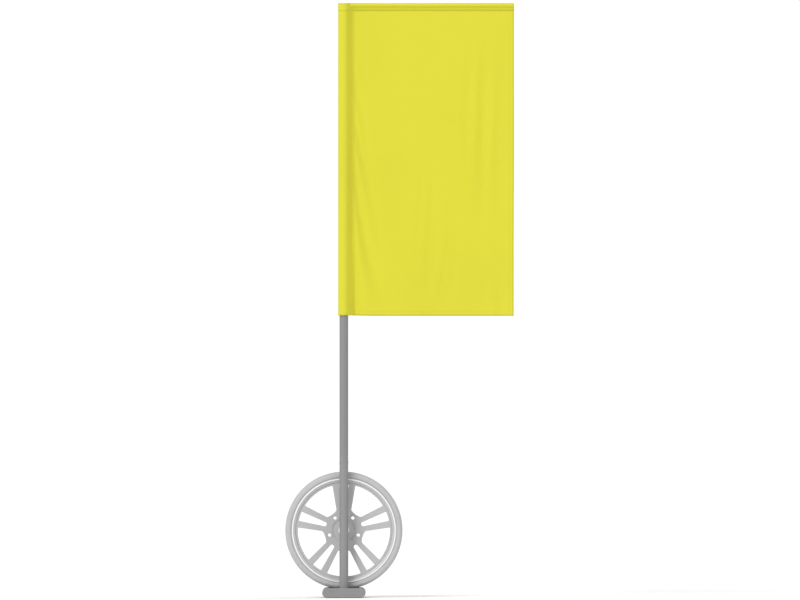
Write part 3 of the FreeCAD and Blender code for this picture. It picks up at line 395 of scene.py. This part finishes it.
FINISHES = {
    "flag_fabric": cloth_finish(),
    "foot_paint": powder_coat(),
    "pole_coat": tube_coat(),
    "grey_plastic": moulded("grey_plastic", FOOT_GREY),
    "sole_rubber": moulded("sole_rubber", SOLE_BLACK, 1400.0),
    "steel": metal("zinc_steel", srgb(205, 206, 210), 0.3),
    "rivet_aluminium": metal("rivet_aluminium", srgb(196, 196, 198), 0.34),
    "tyre_rubber": tyre_finish(),
    "wheel_paint": wheel_lacquer("wheel_paint", SPOKE_GREY).material,
    "bush_nylon": moulded("bush_nylon", NYLON_WHITE, 700.0),
    "brass": metal("brass", srgb(205, 172, 104), 0.28),
}
THREAD = thread_finish()
RIM_PAINT_WITH_PAINTED_LIGHT = rim_finish()


def finish_frame():
    """Gives every node that the model carries over the finish of its own slot."""
    for part in frame["record"]["subparts"]:
        mesh = nodes[part["node"]].data
        mesh.materials.clear()
        mesh.materials.append(FINISHES[part["material_slot"]])
    # The rim takes a lighter copy of the wheel lacquer, painted light against the shade in its recess,
    # together with the lip band.
    nodes["rim_barrel"].data.materials[0] = RIM_PAINT_WITH_PAINTED_LIGHT


# ---------------------------------------------------------------- mesh helpers
def new_piece(name, vertices, faces, material):
    """A smooth-shaded piece whose faces all look outwards."""
    mesh = bpy.data.meshes.new(name)
    mesh.from_pydata([tuple(point) for point in vertices], [], faces)
    mesh.materials.append(material)
    piece = bpy.data.objects.new(name, mesh)
    bpy.context.scene.collection.objects.link(piece)
    shape = bmesh.new()
    shape.from_mesh(mesh)
    bmesh.ops.recalc_face_normals(shape, faces=shape.faces)
    shape.to_mesh(mesh)
    shape.free()
    mesh.shade_smooth()
    return piece


def grid_faces(rows, columns, wrap_columns=False, wrap_rows=False):
    """The quads of a grid whose vertices are listed row by row."""
    faces = []
    for row in range(rows if wrap_rows else rows - 1):
        above = (row + 1) % rows
        for column in range(columns if wrap_columns else columns - 1):
            beside = (column + 1) % columns
            lower = (row * columns + column, row * columns + beside)
            upper = (above * columns + beside, above * columns + column)
            faces.append(lower + upper)
    return faces


def stations(start, end, pitch):
    """Evenly spaced places from start to end."""
    count = max(2, round((end - start) / pitch) + 1)
    return [start + (end - start) * step / (count - 1) for step in range(count)]


def on_circle(radius, turn):
    """A point on a circle, turn being a share of the whole circle."""
    return radius * math.cos(2 * math.pi * turn), radius * math.sin(2 * math.pi * turn)


def thickened(piece, thickness):
    modifier = piece.modifiers.new("thickness", "SOLIDIFY")
    modifier.thickness = thickness
    modifier.offset = 0.0
    return piece


def simulated(piece):
    """Makes what the piece's modifiers have done part of its mesh, and takes them off."""
    depsgraph = bpy.context.evaluated_depsgraph_get()
    final = bpy.data.meshes.new_from_object(piece.evaluated_get(depsgraph))
    piece.modifiers.clear()
    piece.data = final


# ---------------------------------------------------------------- flag: the cloth
CLOTH = 0.0006
SEAM_X = SLEEVE_R + 0.015
SLEEVE_CLOTH_R = SLEEVE_R - 0.0007
HEM_SEAM_Z = ARM_Z - HEM_R - 0.006
PANEL_COLUMNS = 84
PANEL_ROWS = 160
SLEEVE_STEPS = 44
SLEEVE_LEAD_STEPS = 4
SLEEVE_PUCKER = 0.0006
SLOPE_REACH = 0.004
SLEEVE_FINENESS = (40, 40, 9)
FOLD_DEPTH = 0.012
FOLDS_START = (2.2, 2.6)
BROAD_FOLDS = (9.0, 2.4)
FINE_FOLDS = (17.0, -3.2)
FINE_SHARE = 0.45
FINE_SHIFT = 1.0
SWING = 0.028
CREEP = 0.002
HANG_FRAMES = 30
CLOTH_SETTINGS = {
    "quality": 6,
    "mass": 0.12,
    "tension_stiffness": 25.0,
    "compression_stiffness": 12.0,
    "shear_stiffness": 6.0,
    "bending_stiffness": 0.35,
    "air_damping": 4.0,
}


def puckered(x, y, z, fineness):
    """How slack the cloth is at a point, for puckers of this fineness along each axis."""
    return abs(noise.noise(Vector((x * fineness[0], y * fineness[1], z * fineness[2]))))


def sleeve_outline(clearance=0.0):
    """The sleeve's section, from its sewn-down edge behind the panel, round the pole, to the seam."""
    radius = SLEEVE_CLOTH_R + clearance
    seam = Vector((SEAM_X, 0.0))
    tangent = math.acos(radius / SEAM_X) / (2 * math.pi)
    circle = [
        Vector(on_circle(radius, tangent + (1 - 2 * tangent) * step / SLEEVE_STEPS))
        for step in range(SLEEVE_STEPS + 1)
    ]
    leads = [step / SLEEVE_LEAD_STEPS for step in range(SLEEVE_LEAD_STEPS)]
    behind = seam + Vector((0, CLOTH))
    lead_in = [behind.lerp(circle[0], share) for share in leads]
    lead_out = [circle[-1].lerp(seam, share) for share in leads[1:]]
    return lead_in + circle + lead_out


def panel_wave(point):
    """Shallow folds that run down from the top corners, and grow away from the two held edges."""
    across = (point.x - SEAM_X) / (FLAG_RIGHT - SEAM_X)
    down = (HEM_SEAM_Z - point.z) / (HEM_SEAM_Z - FLAG_BOTTOM)
    free = min(1.0, across * FOLDS_START[0]) * min(1.0, down * FOLDS_START[1])
    broad = math.sin(BROAD_FOLDS[0] * across + BROAD_FOLDS[1] * down)
    fine = math.sin(FINE_FOLDS[0] * across + FINE_FOLDS[1] * down + FINE_SHIFT)
    return FOLD_DEPTH * free * (broad + FINE_SHARE * fine)


def hang(flag):
    """Lets the cloth hang from the sleeve and the top hem until its folds have settled."""
    cloth = flag.modifiers.new("cloth", "CLOTH")
    for name, value in CLOTH_SETTINGS.items():
        setattr(cloth.settings, name, value)
    cloth.settings.vertex_group_mass = "held"
    cloth.collision_settings.use_collision = False
    cloth.point_cache.frame_start = 1
    cloth.point_cache.frame_end = HANG_FRAMES
    for step in range(1, HANG_FRAMES + 1):
        bpy.context.scene.frame_set(step)
    simulated(flag)
    bpy.context.scene.frame_set(1)


class Flag:
    """The sleeve and the hung panel, in one sheet, and where each point of the flat panel now is."""

    def __init__(self):
        self.sleeve = sleeve_outline()
        self.first = len(self.sleeve)
        self.columns = self.first + PANEL_COLUMNS + 1
        self.piece = new_piece(
            "flag_cloth",
            self.flat_vertices(),
            grid_faces(PANEL_ROWS + 1, self.columns),
            FINISHES["flag_fabric"],
        )
        self.hold()
        self.settle()
        hung = np.array([vertex.co for vertex in self.piece.data.vertices])
        self.panel = hung.reshape(PANEL_ROWS + 1, self.columns, 3)[:, self.first:, :]

    def flat_x(self, column):
        return SEAM_X + (FLAG_RIGHT - SEAM_X) * column / PANEL_COLUMNS

    def flat_z(self, row):
        return FLAG_BOTTOM + (HEM_SEAM_Z - FLAG_BOTTOM) * row / PANEL_ROWS

    def flat_vertices(self):
        vertices = []
        for row in range(PANEL_ROWS + 1):
            z = self.flat_z(row)
            for point in self.sleeve:
                pucker = puckered(point.x, point.y, z, SLEEVE_FINENESS)
                x, y = point * (1 - SLEEVE_PUCKER * pucker / point.length)
                vertices.append((x, y, z))
            for column in range(PANEL_COLUMNS + 1):
                vertices.append((self.flat_x(column), 0.0, z))
        return vertices

    def hold(self):
        """Pins the sleeve, which the pole fills, and the top edge, which is sewn to the hem."""
        held = self.piece.vertex_groups.new(name="held")
        for row in range(PANEL_ROWS + 1):
            for column in range(self.columns):
                if column <= self.first or row == PANEL_ROWS:
                    held.add([row * self.columns + column], 1.0, "REPLACE")

    def settle(self):
        vertices = self.piece.data.vertices
        for vertex in vertices:
            if vertex.co.x > SEAM_X:
                vertex.co.y += panel_wave(vertex.co)
        hang(self.piece)
        self.keep_in_place()

    def keep_in_place(self):
        """Keeps the free cloth within the space that the flag has, and its edges straight."""
        vertices = self.piece.data.vertices
        for row in range(PANEL_ROWS + 1):
            z = self.flat_z(row)
            for column in range(PANEL_COLUMNS + 1):
                x = self.flat_x(column)
                place = vertices[row * self.columns + self.first + column].co
                place.x = min(x + CREEP, max(x - CREEP, place.x))
                place.z = min(z + CREEP, max(z - CREEP, place.z))
                place.y = SWING * math.tanh(place.y / SWING)

    def at(self, x, z):
        """Where a point of the flat panel is now."""
        column = (x - SEAM_X) / (FLAG_RIGHT - SEAM_X) * PANEL_COLUMNS
        row = (z - FLAG_BOTTOM) / (HEM_SEAM_Z - FLAG_BOTTOM) * PANEL_ROWS
        left = min(max(int(column), 0), PANEL_COLUMNS - 1)
        below = min(max(int(row), 0), PANEL_ROWS - 1)
        across = min(max(column - left, 0.0), 1.0)
        up = min(max(row - below, 0.0), 1.0)
        low = self.panel[below, left] * (1 - across) + self.panel[below, left + 1] * across
        high = self.panel[below + 1, left] * (1 - across) + self.panel[below + 1, left + 1] * across
        return Vector(low * (1 - up) + high * up)

    def frame(self, x, z):
        """A point, the way along X, the way up, and the way that faces back."""
        along = (self.at(x + SLOPE_REACH, z) - self.at(x - SLOPE_REACH, z)).normalized()
        up = (self.at(x, z + SLOPE_REACH) - self.at(x, z - SLOPE_REACH)).normalized()
        return self.at(x, z), along, up, up.cross(along).normalized()


# ---------------------------------------------------------------- flag: hems, stitches and the top
EDGE_HEM = 0.022
HEM_COLUMNS = 4
HEM_PITCH = 0.01
HEM_BEHIND = CLOTH * 1.6
SIDE_HEM_X = FLAG_RIGHT - EDGE_HEM
FOOT_HEM_Z = FLAG_BOTTOM + EDGE_HEM
STITCH = 0.0036
STITCH_PITCH = 0.0046
STITCH_R = 0.00042
STITCH_RINGS = 4
STITCH_SIDES = 5
STITCH_BOW = 1.1
STITCH_SUNK = 0.2
STITCH_END_SHARE = 0.55
STITCH_SWELL_SHARE = 0.45
STITCH_FRONT = CLOTH / 2
STITCH_BEHIND = CLOTH * 2.1
SEWN_IN = 0.004
SEAM_ROW_GAP = 0.006
HEM_ROWS = (0.002, EDGE_HEM - 0.004)
TOP_ROW_DROP = 0.003
TOP_HEM_R = HEM_R - 0.0004
TOP_HEM_OVERLAP = 0.012
TOP_HEM_STEPS = 26
TOP_HEM_OPEN_DEG = 56.0
TOP_HEM_START_X = SLEEVE_CLOTH_R * 0.9
TOP_HEM_PITCH = 0.008
TOP_HEM_FINENESS = (26, 60, 60)
TOP_HEM_SLACK = 0.0007
HEM_END_R = TOP_HEM_R - 0.0004
HEM_END_X = FLAG_RIGHT - 0.0002
HEM_END_RINGS = 7
HEM_END_SIDES = 40
HEM_END_CROWN = 0.0026
PLEATS = 9
PLEAT_DEPTH = 0.0012
CAP_OVERLAP = 0.010
CAP_PITCH = 0.004
CAP_EDGE = 0.0036
CAP_EDGE_STEPS = 6
CAP_TOP_STEPS = 9
CAP_CLOSED = 0.98
CAP_CENTRE = Vector((0.006, 0.0))
CAP_TOP = FLAG_TOP - 0.0004
CAP_FINENESS = (44, 44, 12)
CAP_GATHER = 0.0009
CAP_GATHER_TURN = 1.7


def edge_hem(flag, name, across, along, upright):
    """A folded second layer of cloth behind one of the panel's edges."""
    vertices = []
    for far in along:
        for near in across:
            x, z = (near, far) if upright else (far, near)
            point, _, _, back = flag.frame(x, z)
            vertices.append(point + back * HEM_BEHIND)
    faces = grid_faces(len(along), len(across))
    return thickened(new_piece(name, vertices, faces, FINISHES["flag_fabric"]), CLOTH)


def make_edge_hems(flag):
    shares = [column / HEM_COLUMNS for column in range(HEM_COLUMNS + 1)]
    side = [SIDE_HEM_X + EDGE_HEM * share for share in shares]
    foot = [FLAG_BOTTOM + EDGE_HEM * share for share in shares]
    up_the_side = stations(FLAG_BOTTOM, HEM_SEAM_Z, HEM_PITCH)
    along_the_foot = stations(SEAM_X, SIDE_HEM_X - 2 * CLOTH, HEM_PITCH)
    return [
        edge_hem(flag, "flag_side_hem", side, up_the_side, True),
        edge_hem(flag, "flag_foot_hem", foot, along_the_foot, False),
    ]


def add_stitch(vertices, faces, point, along, outward):
    """One lock stitch: a short thread that bows out of the cloth."""
    side = along.cross(outward).normalized()
    first = len(vertices)
    for ring in range(STITCH_RINGS):
        share = ring / (STITCH_RINGS - 1)
        bow = math.sin(math.pi * share)
        lift = STITCH_R * (STITCH_BOW * bow - STITCH_SUNK)
        centre = point + along * STITCH * (share - 0.5) + outward * lift
        radius = STITCH_R * (STITCH_END_SHARE + STITCH_SWELL_SHARE * bow)
        for turn in range(STITCH_SIDES):
            aside, out = on_circle(radius, turn / STITCH_SIDES)
            vertices.append(centre + side * aside + outward * out)
    for corners in grid_faces(STITCH_RINGS, STITCH_SIDES, wrap_columns=True):
        faces.append(tuple(first + corner for corner in corners))
    last = first + (STITCH_RINGS - 1) * STITCH_SIDES
    faces.append(tuple(first + turn for turn in reversed(range(STITCH_SIDES))))
    faces.append(tuple(last + turn for turn in range(STITCH_SIDES)))


def make_stitching(flag):
    """Rows of stitches on both faces: along the sleeve seam, the top hem and both edge hems."""
    vertices, faces = [], []

    def sew(upright, fixed, start, end):
        for place in stations(start, end, STITCH_PITCH):
            x, z = (fixed, place) if upright else (place, fixed)
            point, along, up, back = flag.frame(x, z)
            way = up if upright else along
            add_stitch(vertices, faces, point - back * STITCH_FRONT, way, -back)
            add_stitch(vertices, faces, point + back * STITCH_BEHIND, way, back)

    low, high = FLAG_BOTTOM + SEWN_IN, HEM_SEAM_Z - SEWN_IN
    left, right = SEAM_X + SEWN_IN, SIDE_HEM_X - SEWN_IN
    sew(True, left, low, high)
    sew(True, left + SEAM_ROW_GAP, low, high)
    for offset in HEM_ROWS:
        sew(True, SIDE_HEM_X + offset, low, high)
        sew(False, FOOT_HEM_Z - offset, left, right)
    sew(False, HEM_SEAM_Z - TOP_ROW_DROP, left, FLAG_RIGHT - SEWN_IN)
    return new_piece("flag_stitching", vertices, faces, THREAD)


def make_top_hem():
    """The hem that the arm lies in: up the front, over the arm and down behind."""
    front, back = -CLOTH, 2 * CLOTH
    section = [(front, HEM_SEAM_Z - TOP_HEM_OVERLAP), (front, HEM_SEAM_Z)]
    closed_deg = 360.0 - TOP_HEM_OPEN_DEG
    first_deg = -90.0 + TOP_HEM_OPEN_DEG / 2
    for step in range(TOP_HEM_STEPS + 1):
        angle = math.radians(first_deg + closed_deg * step / TOP_HEM_STEPS)
        section.append((-TOP_HEM_R * math.cos(angle), ARM_Z + TOP_HEM_R * math.sin(angle)))
    section += [(back, HEM_SEAM_Z), (back, HEM_SEAM_Z - TOP_HEM_OVERLAP)]
    places = stations(TOP_HEM_START_X, FLAG_RIGHT, TOP_HEM_PITCH)
    vertices = []
    for x in places:
        for y, z in section:
            reach = Vector((y, z - ARM_Z))
            if abs(reach.length - TOP_HEM_R) < CLOTH:
                slack = puckered(x, y, z, TOP_HEM_FINENESS) * TOP_HEM_SLACK
                reach *= 1 - slack / TOP_HEM_R
            vertices.append((x, reach.x, ARM_Z + reach.y))
    faces = grid_faces(len(places), len(section))
    return thickened(new_piece("flag_top_hem", vertices, faces, FINISHES["flag_fabric"]), CLOTH)


def make_hem_end():
    """The patch that closes the top hem over the arm's end, with small pleats."""
    vertices = []
    for ring in range(HEM_END_RINGS):
        share = ring / (HEM_END_RINGS - 1)
        for turn in range(HEM_END_SIDES):
            wave = math.sin(2 * PLEATS * math.pi * turn / HEM_END_SIDES)
            pleat = PLEAT_DEPTH * wave * share * (1 - share)
            y, up = on_circle(HEM_END_R * share, turn / HEM_END_SIDES)
            vertices.append((HEM_END_X - HEM_END_CROWN * share ** 3 + pleat, y, ARM_Z + up))
    faces = grid_faces(HEM_END_RINGS, HEM_END_SIDES, wrap_columns=True)
    return thickened(new_piece("flag_hem_end", vertices, faces, FINISHES["flag_fabric"]), CLOTH)


def make_sleeve_cap():
    """The reinforcing cap over the sleeve's top, gathered over the pole's corner."""
    outline = sleeve_outline(clearance=CLOTH)
    straight = stations(HEM_SEAM_Z - CAP_OVERLAP, CAP_TOP - CAP_EDGE, CAP_PITCH)
    rows = [(1.0, z) for z in straight]
    for step in range(1, CAP_EDGE_STEPS + 1):
        angle = math.pi / 2 * step / CAP_EDGE_STEPS
        drawn_in = 1 - CAP_EDGE * (1 - math.cos(angle)) / SLEEVE_CLOTH_R
        rows.append((drawn_in, CAP_TOP - CAP_EDGE * (1 - math.sin(angle))))
    edge_scale = rows[-1][0]
    for step in range(1, CAP_TOP_STEPS + 1):
        rows.append((edge_scale * (1 - CAP_CLOSED * step / CAP_TOP_STEPS), CAP_TOP))
    vertices = []
    for scale, z in rows:
        gather = CAP_GATHER * (1 - scale)
        for index, point in enumerate(outline):
            x, y = CAP_CENTRE + (point - CAP_CENTRE) * scale
            pucker = SLEEVE_PUCKER * puckered(x, y, z, CAP_FINENESS)
            inward = 1 - pucker / max(math.hypot(x, y), POLE_R / 2) * (scale == 1.0)
            fold = gather * (math.sin(index * CAP_GATHER_TURN) - 1.0)
            vertices.append((x * inward, y * inward, z + fold))
    faces = grid_faces(len(rows), len(outline), wrap_columns=True)
    return thickened(new_piece("flag_sleeve_cap", vertices, faces, FINISHES["flag_fabric"]), CLOTH)


def build_flag():
    flag = Flag()
    extras = make_edge_hems(flag)
    extras += [make_top_hem(), make_hem_end(), make_sleeve_cap(), make_stitching(flag)]
    thickened(flag.piece, CLOTH)
    for piece in [flag.piece] + extras:
        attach(piece, "flagpole")
    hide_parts("flag")


# ---------------------------------------------------------------- tyre
PITCHES = 60
SIPE_SHARE = 0.11
SIPE_EDGE = 0.012
SIPE_DEEP = 0.0052
TREAD_HALF = 0.070
TREAD_GROOVES = (-0.051, -0.018, 0.018, 0.051)
GROOVE_HALF = 0.0045
GROOVE_DEEP = 0.0062
GROOVE_FLOOR_IN = 0.0011
BLOCK_CHAMFER = 0.0008
ACROSS_BLOCK = (0.0, 0.06, 0.35, 0.65, 0.94, 1.0)
ALONG_PITCH = (0.0, SIPE_EDGE, SIPE_SHARE - SIPE_EDGE, SIPE_SHARE, 0.35, 0.60, 0.82)
SHARP_EDGE_DEG = 32
BLOCK_SLANTS = (0.30, -0.42, 0.0, 0.42, -0.30)
SLANT_REACH = 0.026
WALL_STEPS = 18
BULGE_DROP = 0.017
HOOK_DROP = TYRE_R - FLANGE_R - 0.0002
HOOK_HALF = 0.0900
LINING_HALF = 0.0835
LINING_R = FLANGE_R + 0.0005
SERRATION = 0.00035
SERRATED_DROP = (0.0112, 0.0150)
WALL_RIBS = ((0.0095, 0.0009, -0.0006), (0.0185, 0.0012, 0.0006), (0.0255, 0.0022, 0.0012))


def tread_rows():
    """Places across the tread: how far along the axle, how deep, and the band of blocks."""
    edges = [-TREAD_HALF]
    for groove in TREAD_GROOVES:
        edges += [groove - GROOVE_HALF, groove + GROOVE_HALF]
    edges.append(TREAD_HALF)
    rows = []
    for band, (low, high) in enumerate(zip(edges[::2], edges[1::2])):
        for share in ACROSS_BLOCK:
            chamfer = BLOCK_CHAMFER if share in (0.0, 1.0) else 0.0
            rows.append((low + (high - low) * share, chamfer, band))
        if band < len(TREAD_GROOVES):
            rows.append((high + GROOVE_FLOOR_IN, GROOVE_DEEP, None))
            rows.append((high + 2 * GROOVE_HALF - GROOVE_FLOOR_IN, GROOVE_DEEP, None))
    return rows


def sidewall():
    """The sidewall from the tread's edge to the rim, as (distance along the axle, drop)."""
    points = []
    for step in range(1, WALL_STEPS + 1):
        turn = math.pi / 2 * step / WALL_STEPS
        away = TREAD_HALF + (TYRE_HALF - TREAD_HALF) * math.sin(turn)
        points.append((away, BULGE_DROP * (1 - math.cos(turn))))
    for step in range(1, WALL_STEPS + 1):
        turn = math.pi / 2 * step / WALL_STEPS
        away = HOOK_HALF + (TYRE_HALF - HOOK_HALF) * math.cos(turn)
        points.append((away, BULGE_DROP + (HOOK_DROP - BULGE_DROP) * math.sin(turn)))
    return [(min(TYRE_HALF, away + wall_relief(drop)), drop) for away, drop in points]


def wall_relief(drop):
    """The raised rings and the groove that run round the sidewall."""
    relief = 0.0
    for centre, half_width, height in WALL_RIBS:
        relief += height * max(0.0, 1 - abs(drop - centre) / half_width)
    return relief


def band_centre(band):
    edges = (-TREAD_HALF,) + TREAD_GROOVES + (TREAD_HALF,)
    return (edges[band] + edges[band + 1]) / 2


def make_tyre():
    """The tyre: five bands of blocks between four grooves, sidewalls with rings, and a lining."""
    wall = sidewall()
    rows = [(-away, drop, None) for away, drop in reversed(wall)]
    rows += tread_rows()
    rows += [(away, drop, None) for away, drop in wall]
    lining_drop = TYRE_R - LINING_R
    rows += [(LINING_HALF, lining_drop, None), (-LINING_HALF, lining_drop, None)]
    vertices = []
    for away, drop, band in rows:
        slant = 0.0
        if band is not None:
            slant = BLOCK_SLANTS[band] * (away - band_centre(band)) / SLANT_REACH
        serrated = abs(away) > TREAD_HALF and SERRATED_DROP[0] < drop < SERRATED_DROP[1]
        for pitch in range(PITCHES):
            for index, share in enumerate(ALONG_PITCH):
                in_sipe = band is not None and index in (1, 2)
                reach = TYRE_R - drop - (SIPE_DEEP if in_sipe else 0.0)
                across, up = on_circle(reach, (pitch + share + slant) / PITCHES)
                ridge = SERRATION if serrated and index % 2 else 0.0
                side = away - math.copysign(ridge, away)
                vertices.append((WHEEL.x + across, WHEEL.y + side, WHEEL.z + up))
    tyre = new_piece(
        "tyre_tread_and_walls",
        vertices,
        grid_faces(len(rows), PITCHES * len(ALONG_PITCH), wrap_columns=True, wrap_rows=True),
        FINISHES["tyre_rubber"],
    )
    tyre.data.set_sharp_from_angle(angle=math.radians(SHARP_EDGE_DEG))
    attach(tyre, "wheel")
    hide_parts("tyre")


# ---------------------------------------------------------------- weld
AXLE_R = 0.015
WELD_R = 0.0026
WELD_STEPS = 96
WELD_SIDES = 8
WELD_STAND = 0.0008
WELD_RIPPLE = 0.16
WELD_RIPPLE_STEPS = 3
WELD_UNEVEN = 0.04
WELD_SEED = 7


def make_axle_weld():
    """The bead of weld where the axle meets the round mast, with the ripples each drop leaves."""
    random.seed(WELD_SEED)
    path = []
    for step in range(WELD_STEPS):
        x, up = on_circle(AXLE_R + WELD_R / 2, step / WELD_STEPS)
        path.append(Vector((x, math.sqrt(POLE_R ** 2 - x ** 2) + WELD_STAND, WHEEL.z + up)))
    middle = sum(path, Vector()) / WELD_STEPS
    vertices = []
    for index, point in enumerate(path):
        ahead = (path[(index + 1) % WELD_STEPS] - path[index - 1]).normalized()
        outward = (point - middle).normalized()
        third = ahead.cross(outward).normalized()
        ripple = 1 + WELD_RIPPLE * abs(math.sin(index * math.pi / WELD_RIPPLE_STEPS))
        ripple += random.uniform(-WELD_UNEVEN, WELD_UNEVEN)
        for turn in range(WELD_SIDES):
            out, aside = on_circle(WELD_R * ripple, turn / WELD_SIDES)
            vertices.append(point + outward * out + third * aside)
    faces = grid_faces(WELD_STEPS, WELD_SIDES, wrap_columns=True, wrap_rows=True)
    bead = new_piece("axle_weld", vertices, faces, FINISHES["foot_paint"])
    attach(bead, "base")


# ---------------------------------------------------------------- button springs
SPRING_WIRE_R = 0.00035
SPRING_TURNS = 7
SPRING_STEPS = 168
SPRING_SIDES = 8


def make_button_spring(label):
    """The coil spring behind a snap button, which shortens as the button is pressed."""
    node = f"{label}_button_spring"
    low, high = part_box(node)
    coil_r = (high.z - low.z) / 2 - SPRING_WIRE_R
    start = Vector((0, low.y + SPRING_WIRE_R, (low.z + high.z) / 2))
    end = Vector((0, high.y - SPRING_WIRE_R, start.z))
    vertices = []
    for step in range(SPRING_STEPS + 1):
        share = step / SPRING_STEPS
        across, up = on_circle(1.0, share * SPRING_TURNS)
        outward = Vector((across, 0, up))
        centre = start.lerp(end, share) + outward * coil_r
        for turn in range(SPRING_SIDES):
            out, along = on_circle(SPRING_WIRE_R, turn / SPRING_SIDES)
            vertices.append(centre + outward * out + Vector((0, along, 0)))
    faces = grid_faces(SPRING_STEPS + 1, SPRING_SIDES, wrap_columns=True)
    faces.append(tuple(range(SPRING_SIDES)))
    faces.append(tuple(range(SPRING_STEPS * SPRING_SIDES, len(vertices))))
    spring = new_piece(f"{label}_coil_spring", vertices, faces, FINISHES["steel"])
    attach(spring, "flagpole")
    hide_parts(node)
    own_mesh(spring)


# ---------------------------------------------------------------- floor, light, camera
FLOOR_SIZE = 3000.0
LENS = 800.0
SENSOR = 36.0
SEEN_WIDTH = 4.0912
VIEW_SHIFT = 0.002
SURROUND_SEEN = 1.02
SURROUND_LIGHT = 0.6
SUN_ANGLE_DEG = 35.0
SUNS = (
    ("key", (-0.55, -0.70, 0.60), 2.05),
    ("fill", (0.80, -0.50, 0.45), 0.45),
    ("back", (0.60, 0.75, 0.70), 0.9),
)


def make_floor():
    bpy.ops.mesh.primitive_grid_add(x_subdivisions=8, y_subdivisions=8, size=FLOOR_SIZE)
    floor = bpy.context.object
    floor.name = "floor"
    pale = Finish("pale_floor", FLOOR_WHITE, 0.95)
    pale.shader.inputs["Specular IOR Level"].default_value = 0.0
    pale.tint(pale.ramp(pale.noise(2.0, 2.0), 0.3, 0.7), shaded(FLOOR_WHITE, 1.01))
    floor.data.materials.append(pale.material)


def make_light():
    """A white surround that shows brighter than it shines, and broad suns that shape the folds."""
    world = bpy.data.worlds.new("studio")
    bpy.context.scene.world = world
    world.use_nodes = True
    tree = world.node_tree
    seen = tree.nodes.new("ShaderNodeLightPath").outputs["Is Camera Ray"]
    strength = tree.nodes.new("ShaderNodeMapRange")
    strength.inputs["To Min"].default_value = SURROUND_LIGHT
    strength.inputs["To Max"].default_value = SURROUND_SEEN
    background = tree.nodes["Background"]
    background.inputs["Color"].default_value = (1.0, 1.0, 1.0, 1.0)
    tree.links.new(seen, strength.inputs["Value"])
    tree.links.new(strength.outputs["Result"], background.inputs["Strength"])
    for name, towards, power in SUNS:
        lamp = bpy.data.lights.new(name, "SUN")
        lamp.energy = power
        lamp.angle = math.radians(SUN_ANGLE_DEG)
        holder = bpy.data.objects.new(name, lamp)
        bpy.context.scene.collection.objects.link(holder)
        holder.rotation_euler = Vector(towards).to_track_quat("Z", "Y").to_euler()


def make_camera():
    """A very long lens straight on to the flag, so that the view is almost without perspective."""
    data = bpy.data.cameras.new("camera")
    camera = bpy.data.objects.new("camera", data)
    bpy.context.scene.collection.objects.link(camera)
    data.lens = LENS
    data.sensor_width = SENSOR
    data.clip_end = FLOOR_SIZE
    middle = (cad_low + cad_high) / 2
    distance = SEEN_WIDTH * LENS / SENSOR
    camera.location = (middle.x + VIEW_SHIFT, -distance, middle.z + VIEW_SHIFT)
    camera.rotation_euler = (math.radians(90), 0, 0)
    bpy.context.scene.camera = camera


# ---------------------------------------------------------------- everything
finish_frame()
build_flag()
make_tyre()
make_axle_weld()
make_button_spring("lower")
make_button_spring("upper")
make_floor()
make_light()
make_camera()
bpy.context.scene.view_settings.view_transform = "Standard"
